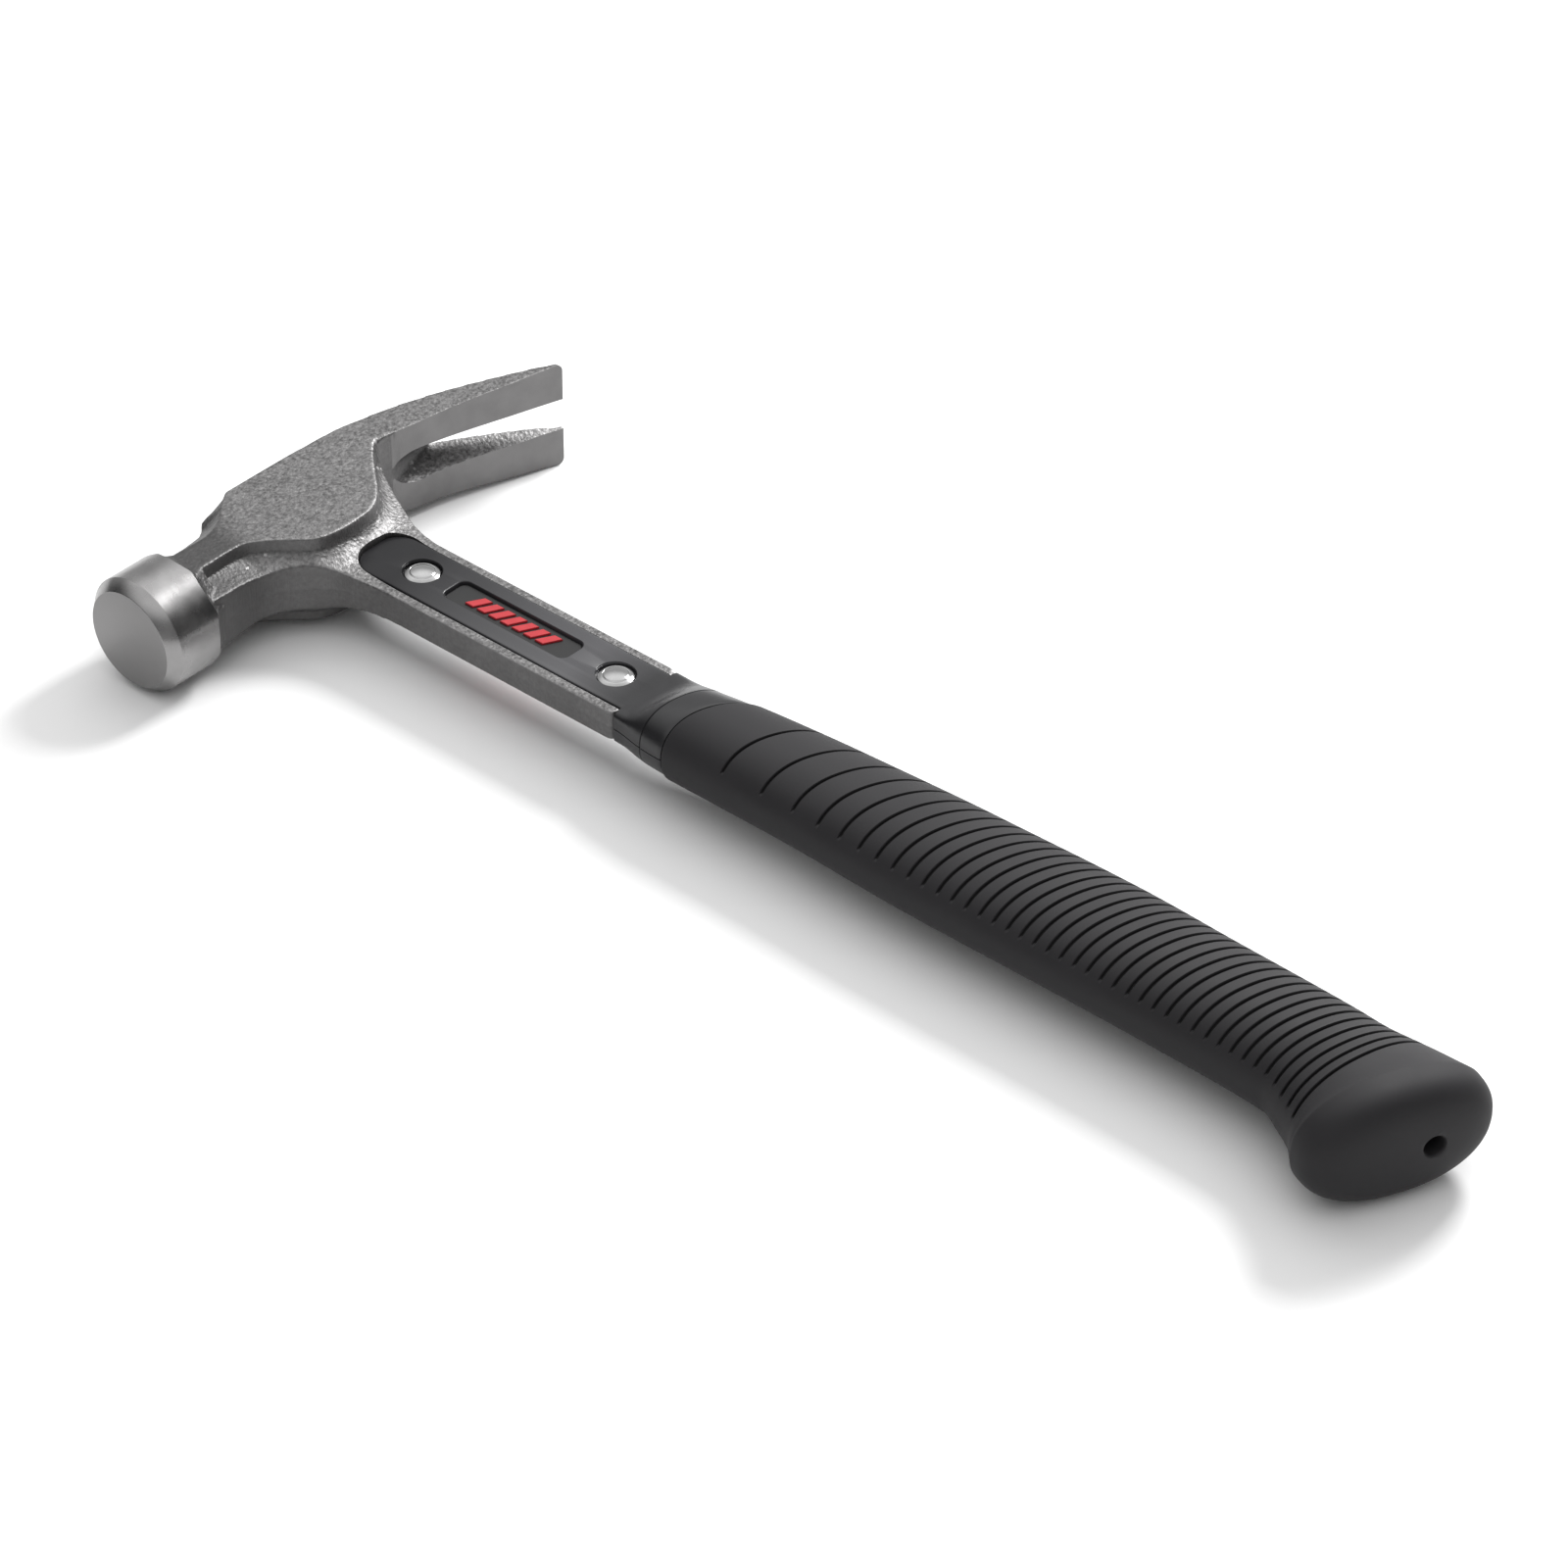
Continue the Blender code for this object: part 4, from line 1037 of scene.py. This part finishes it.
def build_core(side):
    def z(h):
        return Z_MID + side * h

    # tongue: crowned, with a small radius round its rim
    rings = []
    for sh, h in ((0.25, 1.9), (0.25, 3.9), (0.27, 4.08), (0.33, 4.22), (0.42, 4.32), (0.56, 4.39),
                  (0.8, 4.45), (1.4, 4.53), (2.4, 4.66), (3.6, 4.78), (5.0, 4.88), (6.6, 4.95), (8.2, 4.98)):
        lift = 0.0 if h < 4.0 else 0.55
        rings.append([(x, y, z(h + lift * math.exp(-max(x - RECESS_X0, 0.0) / 2.6)))
                      for x, y in recess_outline(sh, 14)])
    tongue = loft("tongue", rings)

    # collar, which flares up to a band in front of the rubber, and the core under it
    n = 200
    t = 2 * np.pi * np.arange(n) / n
    ct, st = np.cos(t), np.sin(t)

    def unit(p):
        return np.sign(ct) * np.abs(ct) ** (2 / p), np.sign(st) * np.abs(st) ** (2 / p)

    CX = (108.8, 112.5, 115.5, 118.5, 121.3, 125.0, 130.2)
    CA = (11.35, 11.5, 11.75, 12.1, 12.4, 12.85, 13.3)
    CB = (4.6, 5.0, 5.95, 7.6, 8.72, 9.1, 9.38)
    CC = (0.0, -0.12, -0.28, -0.38, -0.4, -0.2, 0.1)
    CP = (7.0, 5.2, 3.8, 2.8, 2.4, 2.3, 2.25)
    rings = []
    for x in list(np.linspace(108.8, 120.9, 26)) + [121.2, 121.45, 121.8, 122.4, 123.5, 125.0, 126.6, 128.2, 129.4, 130.0, 130.2]:
        a, b, c, p = (float(pchip(x, CX, q)) for q in (CA, CB, CC, CP))
        C, S = unit(p)
        g = float(np.clip((x - 109.0) / 21.6, 0, 1))
        k = 0.35 if x > 130.1 else 0.12 if x > 129.9 else 0.32 if 121.1 < x < 121.3 else 0.0
        rings.append(np.stack([x + g * (LIP_LEAN * C - LIP_BOW * (1 - C * C)), c + (a - k) * C,
                               Z_MID + (b - k) * S], 1))
    C, S = unit(2.25)
    for x in (130.35, 133.0, 137.0, 142.0, 150.0, 160.0, 170.0, 185.0, 205.0, 225.0, 245.0, 265.0, 285.0, 300.0,
              308.0, 315.0):
        rings.append(core_section(leaning(x, C), C, S, 0.0))
    end = rings[-1]
    cy = end[:, 1].mean()
    cap = end.copy()
    cap[:, 0] = 322.0
    cap[:, 1] = cy + (end[:, 1] - cy) * 0.8
    cap[:, 2] = Z_MID + (end[:, 2] - Z_MID) * 0.75
    rings.append(cap)
    core = loft("core", rings)
    big = 40.0
    z0, z1 = sorted((z(0.13), z(big)))
    keep = loft("keep", [[(x, y, z0) for x, y in ((0, -big), (400, -big), (400, big), (0, big))],
                         [(x, y, z1) for x, y in ((0, -big), (400, -big), (400, big), (0, big))]])
    combine(core, keep, "INTERSECT")
    combine(core, tongue, "UNION")
    w, h = 7.8, 3.9
    box = [(TANG_STEP_X - 2.0, -w), (TANG_END_X + 0.3, -w), (TANG_END_X + 0.3, w), (TANG_STEP_X - 2.0, w)]
    combine(core, loft("room", [[(x, y, Z_MID - h) for x, y in box], [(x, y, Z_MID + h) for x, y in box]]),
            "DIFFERENCE")
    for x in RIVETS:
        prof = [(0, 0.5), (2.8, 0.5), (2.8, 3.6), (4.86, 3.6), (4.86, 4.72), (4.92, 4.86), (5.05, 4.97),
                (5.3, 5.1), (5.3, 9.0), (0, 9.0)]
        seat = turned("seat", [(r, side * hh) for r, hh in prof], "Z", (x, 0, Z_MID), 96)
        combine(core, seat, "DIFFERENCE")
    # panel's recess, with softened rim
    rings = []
    for hh, gr, r in ((3.5, 0.0, 2.0), (4.55, 0.05, 2.05), (4.75, 0.12, 2.12), (4.88, 0.25, 2.25),
                      (4.96, 0.45, 2.45), (6.0, 0.6, 2.6)):
        rings.append([(x, y, z(hh)) for x, y in stadium(BADGE_X0 - gr, BADGE_X1 + gr, BADGE_W + gr, r)])
    combine(core, loft("panel_room", rings), "DIFFERENCE")
    return core


for side, tag in ((1, "top"), (-1, "bottom")):
    core = build_core(side)
    finish(core, f"core_shell_{tag}", [M_INLAY], 30.0)
    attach(core, "root")
    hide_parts(f"core_half_{tag}")

# ------------------------------------------------------------------- rivets
for x, tag in zip(RIVETS, ("front", "rear")):
    def crown(r):
        return 5.37 - (9.6 - math.sqrt(9.6 ** 2 - r * r))

    top = [(0.0, 5.37)]
    for r in np.linspace(0.3, 2.9, 10):
        top.append((r, crown(r)))
    top += [(3.0, crown(3.0) - 0.03), (3.08, crown(3.08) - 0.10), (3.2, crown(3.2) - 0.10), (3.28, crown(3.28) - 0.03)]
    for r in (3.4, 3.7, 4.0, 4.2, 4.35):
        top.append((r, crown(r)))
    top += [(4.46, crown(4.46) - 0.05), (4.53, crown(4.53) - 0.18), (4.55, 3.95), (4.5, 3.9), (2.5, 3.9)]
    prof = top + [(a, -b) for a, b in reversed(top)]
    rv = turned("rivet", prof[::-1], "Z", (x, 0, Z_MID), 96)
    finish(rv, f"rivet_{tag}_head_and_shank", [M_CHROME], 38.0)
    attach(rv, "root")
    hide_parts(f"rivet_{tag}")

# ------------------------------------------------------------------- badges
for side, tag in ((1, "top"), (-1, "bottom")):
    rings = []
    for h, s in ((3.8, 0.3), (4.0, 0.3), (4.05, 0.36)):
        rings.append([(x, y, Z_MID + side * h)
                      for x, y in stadium(BADGE_X0 + s, BADGE_X1 - s, BADGE_W - s, 1.7)])
    plate = loft("plate", rings)
    finish(plate, f"badge_panel_{tag}", [M_PANEL], 30.0)
    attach(plate, "root")
    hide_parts(f"badge_{tag}")
    # a row of equal slanted bars in place of lettering
    bm = bmesh.new()
    x = 54.2
    for i in range(7):
        y0, y1, wd, lean = -2.2, 2.2, 2.5, 0.55
        quad = [(x + y0 * lean, y0), (x + wd + y0 * lean, y0), (x + wd + y1 * lean, y1), (x + y1 * lean, y1)]
        lo, mid, hi = [], [], []
        cx = sum(p[0] for p in quad) / 4
        cy = sum(p[1] for p in quad) / 4
        for px, py in quad:
            lo.append(bm.verts.new((px, py, Z_MID + side * 3.98)))
            mid.append(bm.verts.new((px, py, Z_MID + side * 4.45)))
            hi.append(bm.verts.new((px - 0.14 * np.sign(px - cx), py - 0.14 * np.sign(py - cy), Z_MID + side * 4.56)))
        bm.faces.new(lo[::-1])
        bm.faces.new(hi)
        for a, b in ((lo, mid), (mid, hi)):
            for j in range(4):
                k = (j + 1) % 4
                bm.faces.new((a[j], a[k], b[k], b[j]))
        x += 3.75
    bars = from_bm("bars", bm)
    finish(bars, f"badge_bars_{tag}", [M_RED], 30.0)
    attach(bars, "root")

# -------------------------------------------------------------------- stage
bm = bmesh.new()
bmesh.ops.create_grid(bm, x_segments=1, y_segments=1, size=4.0)
floor = from_bm("floor", bm)
floor.location = (0, 0, cad_lo.z - 0.00005)
n = Nodes("floor_white")
cloud = n.noise(n.pos(), 3.0, 2.0, 0.5)
floor.data.materials.append(n.set(Base_Color=n.mix(cloud, grey(0.90), grey(0.92)), Roughness=0.75,
                                  Specular_IOR_Level=0.2))
floor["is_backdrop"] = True

world = bpy.data.worlds.new("studio")
bpy.context.scene.world = world
world.use_nodes = True
wt = world.node_tree
bg = wt.nodes["Background"]
direction = wt.nodes.new("ShaderNodeTexCoord").outputs["Generated"]


def world_term(vector, lo_dot, hi_dot, gain):
    """gain, faded in with the cosine of the angle from a direction."""
    v = Vector(vector).normalized()
    dot = wt.nodes.new("ShaderNodeVectorMath")
    dot.operation = "DOT_PRODUCT"
    wt.links.new(direction, dot.inputs[0])
    dot.inputs[1].default_value = v
    mr = wt.nodes.new("ShaderNodeMapRange")
    mr.interpolation_type = "SMOOTHSTEP"
    wt.links.new(dot.outputs["Value"], mr.inputs["Value"])
    for key, value in (("From Min", lo_dot), ("From Max", hi_dot), ("To Min", 0.0), ("To Max", gain)):
        mr.inputs[key].default_value = value
    return mr.outputs["Result"]


def world_sum(terms, base):
    total = None
    for t in terms:
        add = wt.nodes.new("ShaderNodeMath")
        add.operation = "ADD"
        if total is None:
            add.inputs[0].default_value = base
        else:
            wt.links.new(total, add.inputs[0])
        wt.links.new(t, add.inputs[1])
        total = add.outputs[0]
    return total


# a ceiling of soft light, a glow behind on the left, dark walls elsewhere
wt.links.new(world_sum([world_term((0, 0, 1), 0.45, 0.85, 1.02),
                        world_term((-0.62, 0.62, 0.48), 0.5, 0.95, 0.6),
                        world_term((0.45, -0.72, 0.5), 0.4, 0.95, 0.26)], 0.06), bg.inputs["Color"])
bg.inputs["Strength"].default_value = 1.0


def area(name, loc, target, size, power, size_y=None):
    li = bpy.data.lights.new(name, "AREA")
    li.shape = "RECTANGLE"
    li.size = size
    li.size_y = size_y or size
    li.energy = power
    ob = bpy.data.objects.new(name, li)
    bpy.context.scene.collection.objects.link(ob)
    ob.location = loc
    ob.rotation_mode = "QUATERNION"
    ob.rotation_quaternion = (Vector(target) - Vector(loc)).to_track_quat("-Z", "Y")
    return ob


area("key", (-0.04, 0.72, 0.62), (0, 0, 0), 0.27, 9.2)

# ------------------------------------------------------------------- camera
f_px, cx, cy_, cz, yaw, pitch, roll = (5602.493, 798.5465, -753.8195, 777.1337, 2.2804413, 0.6549239, 0.0092568)
cf = Vector((math.cos(yaw) * math.cos(pitch), math.sin(yaw) * math.cos(pitch), -math.sin(pitch)))
r = cf.cross(Vector((0, 0, 1))).normalized()
u = r.cross(cf)
r2 = math.cos(roll) * r + math.sin(roll) * u
u2 = -math.sin(roll) * r + math.cos(roll) * u
cam = bpy.data.cameras.new("camera")
cam.sensor_width = 36.0
cam.lens = f_px / 1600.0 * 36.0
cam.clip_start, cam.clip_end = 0.05, 20.0
co_ = bpy.data.objects.new("camera", cam)
bpy.context.scene.collection.objects.link(co_)
loc = TO_FRAME @ Vector((cx, cy_, cz))
co_.matrix_world = Matrix(((r2.x, u2.x, -cf.x, loc.x), (r2.y, u2.y, -cf.y, loc.y),
                           (r2.z, u2.z, -cf.z, loc.z), (0, 0, 0, 1)))
bpy.context.scene.camera = co_
bpy.context.scene.view_settings.view_transform = "Standard"

lo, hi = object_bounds()
